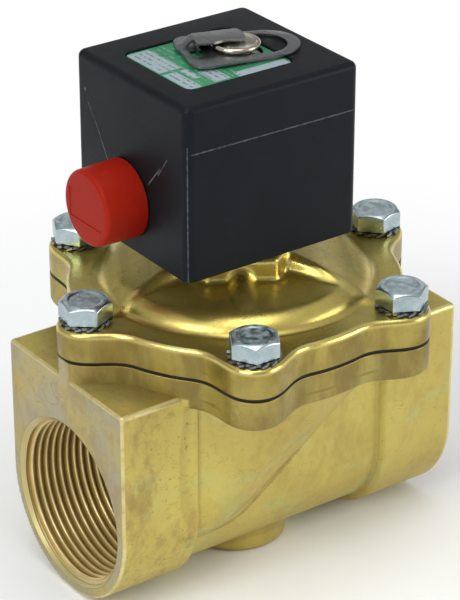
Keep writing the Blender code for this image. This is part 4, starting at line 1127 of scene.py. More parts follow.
    def facing(self, tree: ShaderTree, where: Link) -> tuple[Link, Link]:
        """Turned end faces: where they lie, and the tool's rings about the flow axis.

        Args:
            tree: Material's tree.
            where: Coordinates.

        Returns:
            The mask of the faces, and the rings' height.
        """
        axes = tree.axes(where)
        faced = tree.ramp(tree.size(axes[0]), self.faced_at - 0.12 * MM, self.faced_at - 0.02 * MM)
        radius = tree.hypot(axes[1], tree.minus(axes[2], self.axis_z))
        rings = tree.math("SINE", tree.times(radius, math.tau / (0.42 * MM)))
        return faced, tree.times(rings, tree.ramp(tree.noise(where, 3 * MM), 0.35, 0.7, 0.2, 1.0))


@dataclass(frozen=True)
class Metal(Finish):
    """Plated, turned or stamped metal with fine marks."""

    colour: Colour = (0.6, 0.6, 0.6)
    tint: Colour = (0.5, 0.5, 0.5)
    roughness: float = 0.3
    grain: float = 0.8 * MM
    depth: float = 0.006 * MM
    stretch: Place = (1.0, 1.0, 1.0)
    forged: float = 0.0

    def write(self, tree: ShaderTree) -> None:
        """Write the nodes.

        Args:
            tree: Material's tree.
        """
        where = tree.place()
        brushed = tree.place(self.stretch)
        cloud = tree.ramp(tree.noise(where, 5 * MM, 5.0), 0.35, 0.68)
        marks = tree.noise(brushed, self.grain, 3.0)
        scratch = Effect.SCRATCHES.use(tree, where, scale=1 / (0.35 * MM), least=0.68)
        colour = tree.mix(cloud, self.colour, self.tint)
        colour = tree.mix(tree.times(scratch, 0.25), colour, tuple(0.4 + 0.6 * c for c in self.colour))
        rough = tree.line(marks, 0.12, tree.line(cloud, 0.06, self.roughness - 0.08))
        if self.forged:
            facing = tree.axes(tree.add("ShaderNodeNewGeometry").outputs["Normal"])[2]
            matt = tree.ramp(facing, 0.90, 0.98, 0.0, self.forged)
            matt = tree.times(matt, tree.ramp(tree.noise(where, 2 * MM, 4.0), 0.36, 0.62, 0.25, 1.0))
            colour = tree.mix(matt, colour, tuple(min(1.0, 1.25 * c) for c in self.colour))
            rough = tree.line(matt, 0.34, rough)
        tree.shade(Base_Color=colour, Roughness=rough, Normal=tree.bump(marks, self.depth), Metallic=1.0)


@dataclass(frozen=True)
class ThreadBrass(Finish):
    """Cut thread, coloured by the distance from the flow axis: a painted highlight on the crests, golden
    flanks and painted shade in the roots.
    """

    # crest is a painted highlight on the thread's crests, root a painted shade in its grooves.
    crest: Colour = (0.82, 0.69, 0.37)
    flank: Colour = (0.66, 0.47, 0.15)
    root: Colour = (0.34, 0.21, 0.055)
    mouth: Colour = (0.55, 0.45, 0.20)
    crest_radius: float = 22.43 * MM
    root_radius: float = 23.95 * MM
    axis_z: float = 27.725 * MM
    mouth_at: float = 54.6 * MM

    def write(self, tree: ShaderTree) -> None:
        """Write the nodes.

        Args:
            tree: Material's tree.
        """
        where = tree.place()
        axes = tree.axes(where)
        radius = tree.hypot(axes[1], tree.minus(axes[2], self.axis_z))
        cloud = tree.ramp(tree.noise(where, 9 * MM, 3.0), 0.35, 0.68)
        top = self.crest_radius + 0.12 * MM
        # Painted highlight on the crests and painted shade in the roots.
        colour = tree.mix(tree.ramp(radius, top, top + 0.3 * MM), self.crest, self.flank)
        colour = tree.mix(tree.ramp(radius, top + 0.3 * MM, self.root_radius), colour, self.root)
        colour = tree.mix(tree.times(cloud, 0.35), colour, self.root)
        mouth = tree.ramp(tree.size(axes[0]), self.mouth_at, self.mouth_at + 0.5 * MM)
        tree.shade(
            Base_Color=tree.mix(mouth, colour, self.mouth),
            Roughness=tree.line(cloud, 0.10, 0.32),
            Normal=tree.bump(tree.noise(where, 2 * MM), 0.004 * MM),
            Metallic=0.5,
        )


@dataclass(frozen=True)
class Mark:
    """One straight scratch, speck or painted highlight line."""

    start: Place
    end: Place
    width: float

    def mask(self, tree: ShaderTree, where: Link) -> Link:
        """Mask of the mark, soft at its sides.

        Args:
            tree: Material's tree.
            where: Coordinates.

        Returns:
            1 on the mark and 0 away from it.
        """
        kind, run = "ShaderNodeVectorMath", Vector(self.end) - Vector(self.start)
        offset = tree.out(kind, {0: where, 1: self.start}, operation="SUBTRACT")
        dot = tree.add(kind, {0: offset, 1: run}, operation="DOT_PRODUCT").outputs["Value"]
        share = tree.over(dot, run.length_squared, clamp=True)
        along = tree.out(kind, {0: run, "Scale": share}, operation="SCALE")
        gap = tree.add(kind, {0: offset, 1: along}, operation="DISTANCE").outputs["Value"]
        return tree.ramp(gap, 0.3 * self.width, self.width, 1.0, 0.0)


@dataclass(frozen=True)
class Moulding(Finish):
    """Plastic or rubber with a fine moulded grain, rubbed places, scratches and dust."""

    colour: Colour = (0.03, 0.03, 0.03)
    rubbed: Colour = (0.06, 0.06, 0.06)
    scratch: Colour = (0.3, 0.3, 0.3)
    roughness: float = 0.5
    grain: float = 0.35 * MM
    depth: float = 0.012 * MM
    scratched: float = 0.25
    specular: float = 0.25
    gloss: Colour = (1.0, 1.0, 1.0)
    marks: tuple[Mark, ...] = ()

    def write(self, tree: ShaderTree) -> None:
        """Write the nodes.

        Args:
            tree: Material's tree.
        """
        where = tree.place()
        height = Effect.GRAIN.use(tree, where, scale=1 / self.grain, waves=0.6)
        worn = Effect.STAIN.use(tree, where, scale=1 / (22 * MM), cover=0.45)
        scratch = Effect.SCRATCHES.use(tree, where, scale=1 / (0.6 * MM), least=0.78)
        colour = tree.mix(tree.times(worn, 0.6), self.colour, self.rubbed)
        faint = tree.times(scratch, self.scratched)
        # Listed marks: scratches and specks, and on the coil a painted highlight line down one corner.
        for mark in self.marks:
            broken = tree.ramp(tree.noise(where, 1.5 * MM, 3.0), 0.3, 0.62, 0.25, 0.9)
            line = tree.times(mark.mask(tree, where), broken)
            faint = tree.most(faint, line)
        rough = tree.line(worn, 0.08, tree.line(height, 0.06, self.roughness - 0.06))
        tree.shade(
            Base_Color=tree.mix(faint, colour, self.scratch),
            Roughness=rough,
            Normal=tree.bump(height, self.depth),
            Specular_IOR_Level=self.specular,
            Specular_Tint=(*self.gloss, 1.0),
        )


@dataclass(frozen=True)
class PrintedPlate(Finish):
    """Printed foil: a green field with pale panels, ruled like an empty form."""

    field_colour: Colour = (0.035, 0.235, 0.105)
    panel: Colour = (0.30, 0.37, 0.40)
    lines: Colour = (0.17, 0.33, 0.24)
    rule: Colour = (0.06, 0.10, 0.10)
    centre: Point = (-8.7 * MM, 0.0)
    half: Point = (16.8 * MM, 15.1 * MM)
    panels: tuple[tuple[float, ...], ...] = (
        (-0.97, -0.56, -0.06, 0.95), (-0.97, -0.72, -0.95, -0.16), (-0.66, -0.52, -0.60, -0.16),
        (-0.46, -0.16, -0.92, -0.40), (-0.02, 0.95, -0.97, -0.76),
    )
    written: tuple[float, ...] = (-0.93, 0.10, -0.90, 0.88)
    rows: float = 9.0

    def write(self, tree: ShaderTree) -> None:
        """Write the nodes.

        Args:
            tree: Material's tree.
        """
        where = tree.place()
        axes = tree.axes(where)
        x = tree.over(tree.minus(axes[0], self.centre[0]), self.half[0])
        y = tree.over(tree.minus(axes[1], self.centre[1]), self.half[1])
        pale = reduce(tree.most, [self.window(tree, x, y, *box) for box in self.panels])
        broken = tree.ramp(tree.noise(tree.place((0.4, 1.0, 1.0)), 1.3 * MM, 2.0), 0.46, 0.52)
        rules = tree.under(tree.part(tree.times(x, self.rows)), 0.3)
        rows = tree.times(rules, broken)
        ink = tree.times(rows, self.window(tree, x, y, *self.written))
        fade = tree.noise(where, 6 * MM)
        darker = tuple(0.8 * c for c in self.field_colour)
        colour = tree.mix(tree.ramp(fade, 0.3, 0.7), self.field_colour, darker)
        colour = tree.mix(pale, colour, self.panel)
        colour = tree.mix(tree.times(ink, 0.75), colour, tree.mix(pale, self.lines, self.rule))
        scratch = Effect.SCRATCHES.use(tree, where, scale=1 / (0.4 * MM), least=0.72)
        tree.shade(
            Base_Color=tree.mix(tree.times(scratch, 0.3), colour, self.panel),
            Specular_IOR_Level=0.3,
            Roughness=tree.ramp(fade, 0.3, 0.7, 0.3, 0.42),
        )

    @staticmethod
    def window(
        tree: ShaderTree, x: Socket, y: Socket, left: float, right: float, low: float, high: float
    ) -> Link:
        """Mask of a rectangle.

        Args:
            tree: Material's tree.
            x, y: Position in half lengths and half widths.
            left, right: Limits of x.
            low, high: Limits of y.

        Returns:
            1 inside and 0 outside.
        """
        sides = []
        for value, start, end in ((x, left, right), (y, low, high)):
            offset = tree.size(tree.minus(value, (start + end) / 2))
            sides.append(tree.under(offset, (end - start) / 2))
        return tree.times(*sides)


BODY_BRASS = CastBrass("body_brass", faced_at=56.5 * MM, crease=0.5)
BONNET_BRASS = CastBrass(
    "bonnet_brass", clean=(0.66, 0.53, 0.14), dull=(0.50, 0.40, 0.11), green=(0.46, 0.44, 0.15),
    stain=(0.16, 0.10, 0.03), roughness=0.27, metallic=0.92, cover=0.26, smudge=0.36, edge_wear_and_highlight=0.18,
    hollow=0.16, age=(0.42, 0.85), handled=0.0, grain_depth=0.03 * MM, flange_low=72.0 * MM,
    flange_high=80.6 * MM, block_top=0.0,
)
THREAD_BRASS = ThreadBrass("thread_brass")
ZINC = Metal("bright_zinc", (0.48, 0.57, 0.59), (0.35, 0.44, 0.46), 0.30, 0.9 * MM, 0.004 * MM, forged=0.8)
DARK_ZINC = Metal("dark_zinc", (0.24, 0.26, 0.26), (0.15, 0.16, 0.16), 0.36, 0.6 * MM, 0.004 * MM)
STAINLESS = Metal(
    "turned_steel", (0.56, 0.55, 0.52), (0.47, 0.46, 0.43), 0.26, 0.3 * MM, 0.003 * MM, (1.0, 1.0, 9.0),
)
NICKEL = Metal("nickel_knob", (0.60, 0.56, 0.47), (0.48, 0.43, 0.35), 0.17, 0.5 * MM, 0.002 * MM)
SPRING_STEEL = Metal(
    "spring_steel", (0.27, 0.275, 0.28), (0.20, 0.20, 0.205), 0.32, 0.5 * MM, 0.003 * MM, (1.0, 6.0, 1.0),
)
SOFT_IRON = Metal("soft_iron", (0.42, 0.42, 0.43), (0.33, 0.32, 0.32), 0.42, 0.6 * MM, 0.006 * MM)
COPPER = Metal("enamelled_copper", (0.70, 0.31, 0.15), (0.55, 0.22, 0.10), 0.26, 0.4 * MM, 0.003 * MM)
RUBBER = Moulding(
    "black_rubber", (0.010, 0.010, 0.010), (0.022, 0.022, 0.020), (0.10, 0.09, 0.08), 0.72, 0.4 * MM,
    0.01 * MM, 0.2,
)
COIL_MARKS = (
    Mark((-0.0329, -0.0258, 0.1346), (0.0205, -0.0258, 0.1342), 0.00028),
    Mark((-0.03385, 0.0110, 0.1207), (-0.03385, 0.0160, 0.1290), 0.00030),
    Mark((-0.03385, 0.0160, 0.1290), (-0.03385, 0.0200, 0.1340), 0.00016),
    Mark((-0.03385, -0.0081, 0.1203), (-0.03385, -0.0135, 0.1266), 0.00034),
    Mark((-0.03385, -0.0128, 0.1247), (-0.03385, -0.0170, 0.1305), 0.00022),
    Mark((-0.03385, 0.0212, 0.1373), (-0.03385, 0.0212, 0.1375), 0.00060),
    # Painted highlight line down the rounded near vertical corner.
    Mark((-0.03309, -0.02504, 0.0925), (-0.03309, -0.02504, 0.1365), 0.00022),
)
COIL_BLACK = Moulding(
    "coil_moulding", (0.0075, 0.008, 0.009), (0.010, 0.011, 0.0125), (0.11, 0.11, 0.115), 0.42, 0.32 * MM,
    0.010 * MM, 0.05, 0.12, (0.72, 0.88, 1.0), COIL_MARKS,
)
CAP_RED = Moulding(
    "red_cap", (0.31, 0.011, 0.004), (0.34, 0.017, 0.007), (0.40, 0.06, 0.04), 0.46, 0.5 * MM, 0.008 * MM,
    0.08, 0.13, (1.0, 0.72, 0.55),
)
BOBBIN_WHITE = Moulding(
    "bobbin_plastic", (0.68, 0.65, 0.58), (0.6, 0.57, 0.5), (0.4, 0.38, 0.34), 0.5, 0.5 * MM, 0.006 * MM, 0.2,
)
LABEL = PrintedPlate("printed_plate")


# Repeating forms as geometry nodes


@lru_cache(maxsize=None)
def thread_tree() -> GeometryTree:
    """Ring with a helical thread on one wall and a plain other wall.

    Returns:
        The tree.
    """
    tree = GeometryTree("thread_ring")
    pitch, length, crest, root, wall, mouth = tree.numbers(
        "Pitch", "Length", "Crest Radius", "Root Radius", "Wall Radius", "Mouth Radius"
    )
    rows, facets = tree.declare("Rows", "Int"), tree.declare("Facets", "Int")
    grid = tree.out("GeometryNodeMeshGrid", {
        "Size X": 1.0, "Size Y": 1.0,
        "Vertices X": tree.plus(rows, 3.0), "Vertices Y": tree.plus(facets, 1.0),
    })
    place = tree.axes(tree.out("GeometryNodeInputPosition"))
    column = tree.math("ROUND", tree.times(tree.plus(place[0], 0.5), tree.plus(rows, 2.0)))
    turn = tree.plus(place[1], 0.5)
    first = tree.under(column, tree.plus(rows, 1.5))
    share = tree.over(tree.minus(column, 1.0), tree.minus(rows, 1.0), clamp=True)
    depth = tree.times(tree.times(share, length), first)
    phase = tree.part(tree.minus(tree.over(depth, pitch), turn))
    rise = tree.ramp(tree.times(tree.size(tree.minus(phase, 0.5)), 2.0), 0.1, 0.9)
    cut = tree.line(tree.minus(crest, root), rise, root)
    cut = tree.most(cut, tree.minus(mouth, depth))
    outer = tree.math("GREATER_THAN", column, tree.plus(rows, 0.5))
    walled = tree.most(outer, tree.under(column, 0.5))
    radius = tree.line(tree.minus(wall, cut), walled, cut)
    angle = tree.times(turn, math.tau)
    x, y = tree.times(radius, tree.math("COSINE", angle)), tree.times(radius, tree.math("SINE", angle))
    wound = tree.out("GeometryNodeSetPosition", {"Geometry": grid, "Position": tree.vector(x, y, depth)})
    tree.close(tree.out("GeometryNodeMergeByDistance", {"Geometry": wound, "Distance": 1e-6}))
    return tree


@lru_cache(maxsize=None)
def spring_tree() -> GeometryTree:
    """Round wire wound on a cylinder or a cone.

    Returns:
        The tree.
    """
    tree = GeometryTree("spring")
    foot, head, base, height, wire, curls = tree.numbers(
        "Foot Radius", "Head Radius", "Base", "Height", "Wire", "Curls"
    )
    spiral = tree.out("GeometryNodeCurveSpiral", {
        "Resolution": 40, "Rotations": curls, "Start Radius": foot, "End Radius": head, "Height": height,
    })
    section = tree.out("GeometryNodeCurvePrimitiveCircle", {"Resolution": 12, "Radius": tree.over(wire, 2.0)})
    inputs = {"Curve": spiral, "Profile Curve": section, "Fill Caps": True}
    tube = tree.out("GeometryNodeCurveToMesh", inputs)
    tree.close(tree.moved(tube, Translation=tree.vector(z=base)))
    return tree


@lru_cache(maxsize=None)
def screw_tree() -> GeometryTree:
    """Hexagon-head screw with a chamfered, dished head, seated at a given place.

    Returns:
        The tree.
    """
    tree = GeometryTree("hexagon_screw")
    flats, height, dish, dish_depth, shank, length = tree.numbers(
        "Flats", "Head Height", "Dish Radius", "Dish Depth", "Shank Radius", "Shank Length"
    )

    def raised(kind: str, rise: Socket, inputs: dict[str, Socket]) -> Link:
        """Cylinder or cone with given inputs, moved up by a rise."""
        return tree.moved(tree.out(f"GeometryNodeMesh{kind}", inputs), Translation=tree.vector(z=rise))

    blank = raised("Cylinder", tree.over(height, 2.0), {
        "Vertices": 6, "Radius": tree.over(flats, math.sqrt(3)), "Depth": height,
    })
    crown = tree.times(flats, 0.455)
    spread = tree.plus(crown, tree.times(height, 4.0 / math.tan(math.radians(32))))
    chamfer = raised("Cone", tree.times(height, -3.0), {
        "Vertices": 72, "Radius Top": crown, "Radius Bottom": spread, "Depth": tree.times(height, 4.0),
    })
    bowl = raised("Cone", tree.minus(height, dish_depth), {
        "Vertices": 48, "Radius Top": tree.times(dish, 1.15), "Radius Bottom": tree.times(dish, 0.85),
        "Depth": tree.times(dish_depth, 2.0),
    })
    rod = raised("Cylinder", tree.times(length, -0.5), {
        "Vertices": 48, "Radius": shank, "Depth": tree.plus(length, height),
    })
    head = tree.solid("DIFFERENCE", bowl, base=tree.solid("INTERSECT", blank, chamfer))
    tree.close(tree.seated(tree.solid("UNION", head, rod)))
    return tree


@lru_cache(maxsize=None)
def star_washer_tree() -> GeometryTree:
    """External-tooth lock washer: a flat ring with twisted teeth, seated at a given place.

    Returns:
        The tree.
    """
    tree = GeometryTree("star_washer")
    inner, root, outer, sheet, twist = tree.numbers(
        "Inner Radius", "Root Radius", "Outer Radius", "Sheet", "Twist"
    )
    teeth = tree.declare("Teeth", "Int")
    path = tree.out("GeometryNodeCurvePrimitiveCircle", {
        "Resolution": 72, "Radius": tree.over(tree.plus(inner, root), 2.0),
    })
    section = tree.out("GeometryNodeCurvePrimitiveQuadrilateral", {
        "Width": tree.minus(root, inner), "Height": sheet,
    })
    ring = tree.out("GeometryNodeCurveToMesh", {"Curve": path, "Profile Curve": section})
    broad = tree.times(tree.over(outer, teeth), 3.4)
    size = tree.vector(tree.minus(outer, inner), broad, tree.times(sheet, 0.8))
    blade = tree.out("GeometryNodeMeshCube", {"Size": size, "Vertices X": 4})
    bent = tree.moved(blade, Rotation=tree.vector(twist))
    marks = tree.out("GeometryNodeMeshCircle", {
        "Vertices": teeth, "Radius": tree.over(tree.plus(inner, outer), 2.0),
    })
    index = tree.out("GeometryNodeInputIndex")
    facing = tree.vector(z=tree.times(index, tree.over(math.tau, teeth)))
    inputs = {"Points": marks, "Instance": bent, "Rotation": facing}
    join = tree.add("GeometryNodeJoinGeometry")
    for form in (ring, tree.out("GeometryNodeInstanceOnPoints", inputs)):
        tree.feed(join.inputs[0], form)
    tree.close(tree.seated(join.outputs[0]))
    return tree


# Sub-assemblies


@dataclass
class BodyCasting:
    """Cast body with its pipe ends, bowl, flange, seat and port threads."""

    thread_minor: float = 44.85 * MM
    thread_major: float = 47.8 * MM
    thread_pitch: float = 2.309 * MM
    thread_depth: float = 24.0 * MM
    mouth: float = 49.4 * MM
    port_wall: float = 5.3 * MM
    block_length: float = 24.9 * MM
    block_drop: float = 5.5 * MM
    block_edge: float = 1.1 * MM
    waist_setback: float = 2.3 * MM
    flange_depth: float = 8.7 * MM
    flange_edge: float = 1.3 * MM
    bowl_foot: float = 26.0 * MM
    bowl_foot_height: float = 20.0 * MM
    bowl_lean: float = 30.0 * MM
    bowl_flare: float = 0.62
    boss: float = 14.4 * MM
    passage: float = 19.5 * MM
    chamber: float = 38.5 * MM
    seat: float = 16.5 * MM
    seat_wall: float = 3.8 * MM
    seat_edge: float = 1.2 * MM
    bolt_depth: float = 7.1 * MM
    fillet: float = 1.6 * MM
    step_half: float = 1.0 * MM
    step: float = 0.70 * MM
    half_length: float = field(init=False)
    face: float = field(init=False)
    seat_top: float = field(init=False)

    def __post_init__(self) -> None:
        """Take the casting's limits from its solid."""
        _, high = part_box("valve_body")
        self.half_length, self.face = high.x, high.z
        self.seat_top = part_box("main_seal")[0].z - GAP

    @property
    def axis_z(self) -> float:
        """Height of the flow axis."""
        return self.thread_minor / 2 + self.port_wall

    @property
    def flange_bottom(self) -> float:
        """Height of the flange's underside."""
        return self.face - self.flange_depth

    def cone(self, x: Array, y: Array, z: Array, foot: float, rim: float, low: float, high: float) -> Array:
        """Distance to a cone that leans from its foot under the inlet to its rim on the axis.

        Args:
            x, y, z: Coordinates of each point.
            foot, rim: Radii at the foot and the rim.
            low, high: Heights of the foot and the rim.

        Returns:
            Distances to its side.
        """
        share = (z - low) / (high - low)
        offset = x + self.bowl_lean * (1 - share)
        radius = np.hypot(offset, y)
        growth = ((rim - foot) - self.bowl_lean * offset / np.maximum(radius, 1e-6)) / (high - low)
        return (radius - foot - (rim - foot) * share) / np.sqrt(1 + growth * growth)

    def form(self, x: Array, y: Array, z: Array) -> Array:
        """Distance to the outside of the casting.

        Args:
            x, y, z: Coordinates of each point.

        Returns:
            Distances, negative inside.
        """
        inner = self.half_length - self.block_length
        setback = self.waist_setback * (1 - ease(inner - self.step_half, inner + self.step_half, np.abs(x)))
        across = np.where(z > self.axis_z, np.abs(y), np.hypot(y, z - self.axis_z))
        side = across - (self.axis_z - setback)
        run = round_common(side, z - (self.face - self.block_drop) + setback, self.block_edge)
        bowl_top = self.flange_bottom + 2 * MM
        bowl = self.cone(x, y, z, self.bowl_foot, FLANGE.rim - 1.6 * MM, self.bowl_foot_height, bowl_top)
        bowl = round_common(np.maximum(bowl, z - bowl_top), self.bowl_foot_height - z, 3.0 * MM)
        bowl = round_common(bowl, self.bowl_side(x, y, inner), 2.0 * MM)
        boss = np.maximum(round_common(np.hypot(x, y) - self.boss, -z, 0.9 * MM), z - self.axis_z)
        whole = round_union(run, boss, 2.0 * MM)
        whole = round_union(whole, bowl, self.fillet)
        return round_common(whole, np.abs(x) - self.half_length, 0.8 * MM)

    def bowl_side(self, x: Array, y: Array, inner: float) -> Array:
        """Distance to the bowl's upright sides, which start flush with the inlet block and flare out.

        Args:
            x, y: Coordinates of each point.
            inner: Distance of the block's inner end from the valve's axis.

        Returns:
            Distances, negative inside.
        """
        start = self.axis_z - self.waist_setback / 4
        reach = start + self.bowl_flare * np.maximum(x + inner, 0.0)
        return (np.abs(y) - reach) / math.hypot(1.0, self.bowl_flare)

    def flange(self) -> Mesh:
        """Lobed flange with eased edges, faced off flush with the pipe ends.

        Returns:
            A closed mesh.
        """
        limit = self.half_length - 0.01 * MM

        def outline(inset: float) -> list[Point]:
            """Flange's edge, drawn in by an inset and cut off at the pipe ends."""
            return [(min(max(x, -limit), limit), y) for x, y in FLANGE.outline(inset)]

        rings = eased_rings(outline, self.flange_bottom, self.face, self.flange_edge, 0.3 * MM)
        return skin("body_flange", rings)

    def slanted(self, foot: float, rim: float, low: float, high: float) -> Mesh:
        """Cutter for the chamber under the flange.

        Args:
            foot, rim: Radii at the foot and the rim.
            low, high: Heights of the foot and the rim.

        Returns:
            A closed mesh.
        """
        rings = []
        for share in np.linspace(0.0, 1.0, 9):
            radius = foot + (rim - foot) * share
            shift = -self.bowl_lean * (1 - share)
            height = low + (high - low) * share
            rings.append([(shift + px, py, height) for px, py in arc((0.0, 0.0), radius, 0, 360, 72)[:-1]])
        return skin("chamber", rings)

    def port(self, end: Flow, reach: float) -> Mesh:
        """Cutter for one port and its passage.

        Args:
            end: Pipe end.
            reach: Distance of the passage's end from the valve's axis.

        Returns:
            A closed mesh.
        """
        mouth, shoulder = self.mouth / 2, self.half_length - self.thread_depth
        mesh = lathe(f"{end.name.lower()}_port", [
            (0.0, self.half_length + FAR_PAST),
            (mouth, self.half_length + FAR_PAST),
            (mouth, shoulder),
            (self.passage, shoulder - (mouth - self.passage) * 0.5),
            (self.passage, reach),
            (0.0, reach),
        ], 160)
        return towards_x(mesh, end.value, (0.0, 0.0, self.axis_z))

    def build(self) -> Mesh:
        """Casting with its chamber, seat, ports and bolt holes.

        Returns:
            The finished mesh.
        """
        low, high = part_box("valve_body")
        margin = Vector((2 * self.step,) * 3)
        mesh = skin_field("body_casting", self.form, low - margin, high + margin, self.step)
        mesh = carve(mesh, [self.flange()], "UNION")
        column = self.seat + self.seat_wall
        low_neck = self.flange_bottom - 1.5 * MM
        mesh = carve(mesh, [
            round_bar("chamber_neck", self.chamber, low_neck, self.face + FAR_PAST, steps=120),
            self.slanted(self.passage - 3.2 * MM, self.chamber - 1.2 * MM, 26.5 * MM, self.flange_bottom),
            self.port(Flow.INLET, column + 3.2 * MM),
        ])
        floor = self.axis_z - self.passage / 2
        rim = arc((column - self.seat_edge, self.seat_top - self.seat_edge), self.seat_edge, 90, 0, 5)
        outline = [(0.0, self.seat_top), *rim, (column, floor), (0.0, floor)]
        mesh = carve(mesh, [lathe("seat_column", outline)], "UNION")
        bores = [
            lathe("seat_bore", [
                (0.0, self.seat_top + FAR_PAST), (self.seat, self.seat_top + FAR_PAST),
                (self.seat, self.axis_z), (0.0, self.axis_z - self.seat / 2),
            ]),
            self.port(Flow.OUTLET, -self.seat_wall),
        ]
        return smooth(carve(mesh, bores + FLANGE.holes(self.face - self.bolt_depth, self.face + FAR_PAST)))

    def threads(self, end: Flow) -> Mesh:
        """Threaded ring of one port.

        Args:
            end: Pipe end.

        Returns:
            The ring's mesh.
        """
        mesh = thread_tree().run(
            f"{end.name.lower()}_thread", THREAD_BRASS, Pitch=self.thread_pitch, Length=self.thread_depth,
            Crest_Radius=self.thread_minor / 2, Root_Radius=self.thread_major / 2 + 0.1 * MM,
            Wall_Radius=self.mouth / 2 + 0.06 * MM, Mouth_Radius=self.mouth / 2, Rows=150, Facets=144,
        )
        return smooth(towards_x(mesh, -end.value, (end.value * self.half_length, 0.0, self.axis_z)), 50.0)

    def dress(self) -> None:
        """Add the casting and its threads."""
        add_piece("body_casting", self.build(), BODY_BRASS, Body.VALVE, "cast_brass", ["valve_body"])
        for end in Flow:
            name = f"{end.name.lower()}_thread"
            add_piece(name, self.threads(end), THREAD_BRASS, Body.VALVE, "cast_brass")


@dataclass
class Bonnet:
    """Cast cover: lobed flange, dome, six-sided hub, two buttresses and a rib."""

    flange_height: float = 8.4 * MM
    flange_edge: float = 1.5 * MM
    dome_foot: float = 38.2 * MM
    dome_top: float = 33.5 * MM
    dome_rise: float = 4.5 * MM
    dome_crown: float = 1.1 * MM
    dome_wall: float = 4.8 * MM
    shoulder: float = 3.0 * MM
    hub_flats: float = 33.4 * MM
    hub_edge: float = 1.4 * MM
    buttress_angle: float = -30.0
    crest_reach: float = 27.5 * MM
    foot_reach: float = 34.5 * MM
    hub_rise: float = 9.6 * MM
    crest_rise: float = 6.4 * MM
    hub_half: float = 13.5 * MM
    crest_half: float = 19.0 * MM
    crest_round: float = 3.4 * MM
    rib_angle: float = -120.0
    rib_radius: float = 3.2 * MM
    rib_reach: float = 29.0 * MM
    chamber: float = 38.5 * MM
    shank: float = 10.3 * MM
    ring_pocket: float = 12.2 * MM
    ring_depth: float = 1.9 * MM
    bore_depth: float = 8.2 * MM
    nozzle: float = 2.6 * MM
    nozzle_rise: float = 3.0 * MM
    nozzle_bore: float = 1.1 * MM
    step: float = 0.5 * MM
    base: float = field(init=False)
    hub_top: float = field(init=False)

    def __post_init__(self) -> None:
        """Take the cover's limits from its solid."""
        low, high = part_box("bonnet")
        self.base, self.hub_top = low.z, high.z

    @property
    def flange_top(self) -> float:
        """Height that the lock washers sit on."""
        return self.base + self.flange_height

    @property
    def plateau(self) -> float:
        """Height of the dome's shoulder."""
        return self.flange_top + self.dome_rise

    def dome(self, radius: Array, z: Array) -> Array:
        """Distance to the dome.

        Args:
            radius: Distance of each point from the axis.
            z: Z of each point.

        Returns:
            Distances, negative inside.
        """
        lean = math.atan2((self.dome_foot - self.dome_top) * 0.55, self.dome_rise)
        side = (radius - self.dome_foot) * math.cos(lean) + (z - self.flange_top) * math.sin(lean)
        rise = self.dome_crown / (self.dome_top - self.hub_flats / 2)
        top = (z - self.plateau - rise * (self.dome_top - radius)) / math.hypot(1.0, rise)
        return round_common(side, top, self.shoulder)

    def hub(self, x: Array, y: Array, z: Array) -> Array:
        """Distance to the hub.

        Args:
            x, y, z: Coordinates of each point.

        Returns:
            Distances, negative inside.
        """
        sides = []
        for degrees in (0.0, 60.0, 120.0):
            along, _ = turned(x, y, degrees)
            sides.append(np.abs(along) - self.hub_flats / 2)
        prism = round_common(round_common(sides[0], sides[1], 0.9 * MM), sides[2], 0.9 * MM)
        return round_common(prism, z - self.hub_top, self.hub_edge)

    def buttress(self, x: Array, y: Array, z: Array, degrees: float) -> Array:
        """Distance to a wedge from the hub to the flange.

        Args:
            x, y, z: Coordinates of each point.
            degrees: Direction that it runs in.

        Returns:
            Distances, negative inside.
        """
        along, across = turned(x, y, degrees)
        run = self.crest_reach - self.hub_flats / 2
        fall = (self.hub_rise - self.crest_rise) / run
        past = along - self.hub_flats / 2
        top = (z - self.flange_top - self.hub_rise + fall * past) / math.hypot(1.0, fall)
        steep = self.crest_rise / (self.foot_reach - self.crest_reach)
        nose = (z - self.flange_top + steep * (along - self.foot_reach)) / math.hypot(1.0, steep)
        flare = (self.crest_half - self.hub_half) / run
        side = (np.abs(across) - self.hub_half - flare * past) / math.hypot(1.0, flare)
        wedge = round_common(round_common(top, nose, self.crest_round), side, 2.8 * MM)
        return np.maximum(wedge, self.hub_flats / 4 - along)

    def rib(self, x: Array, y: Array, z: Array) -> Array:
        """Distance to the half-round rib.

        Args:
            x, y, z: Coordinates of each point.

        Returns:
            Distances, negative inside.
        """
        start = np.array((self.hub_flats / 4, (self.hub_top + self.plateau) / 2))
        run = np.array((self.rib_reach, self.plateau - self.rib_radius)) - start
        along, across = turned(x, y, self.rib_angle)
        along, rise = along - start[0], z - start[1]
        share = np.clip((along * run[0] + rise * run[1]) / (run @ run), 0.0, 1.0)
        offset = np.hypot(along - share * run[0], rise - share * run[1])
        return np.hypot(offset, across) - self.rib_radius

    def form(self, x: Array, y: Array, z: Array) -> Array:
        """Distance to the outside of the cover, carried on below its face.

        Args:
            x, y, z: Coordinates of each point.

        Returns:
            Distances, negative inside.
        """
        whole = round_common(FLANGE.distance(x, y), z - self.flange_top, self.flange_edge)
        whole = round_union(whole, self.dome(np.hypot(x, y), z), 1.4 * MM)
        for degrees in (self.buttress_angle, self.buttress_angle + 180.0):
            whole = round_union(whole, self.buttress(x, y, z, degrees), 2.2 * MM)
        whole = round_union(whole, self.hub(x, y, z), 1.5 * MM)
        whole = round_union(whole, self.rib(x, y, z), 1.6 * MM)
        return np.maximum(whole, self.base - 3 * self.step - z)

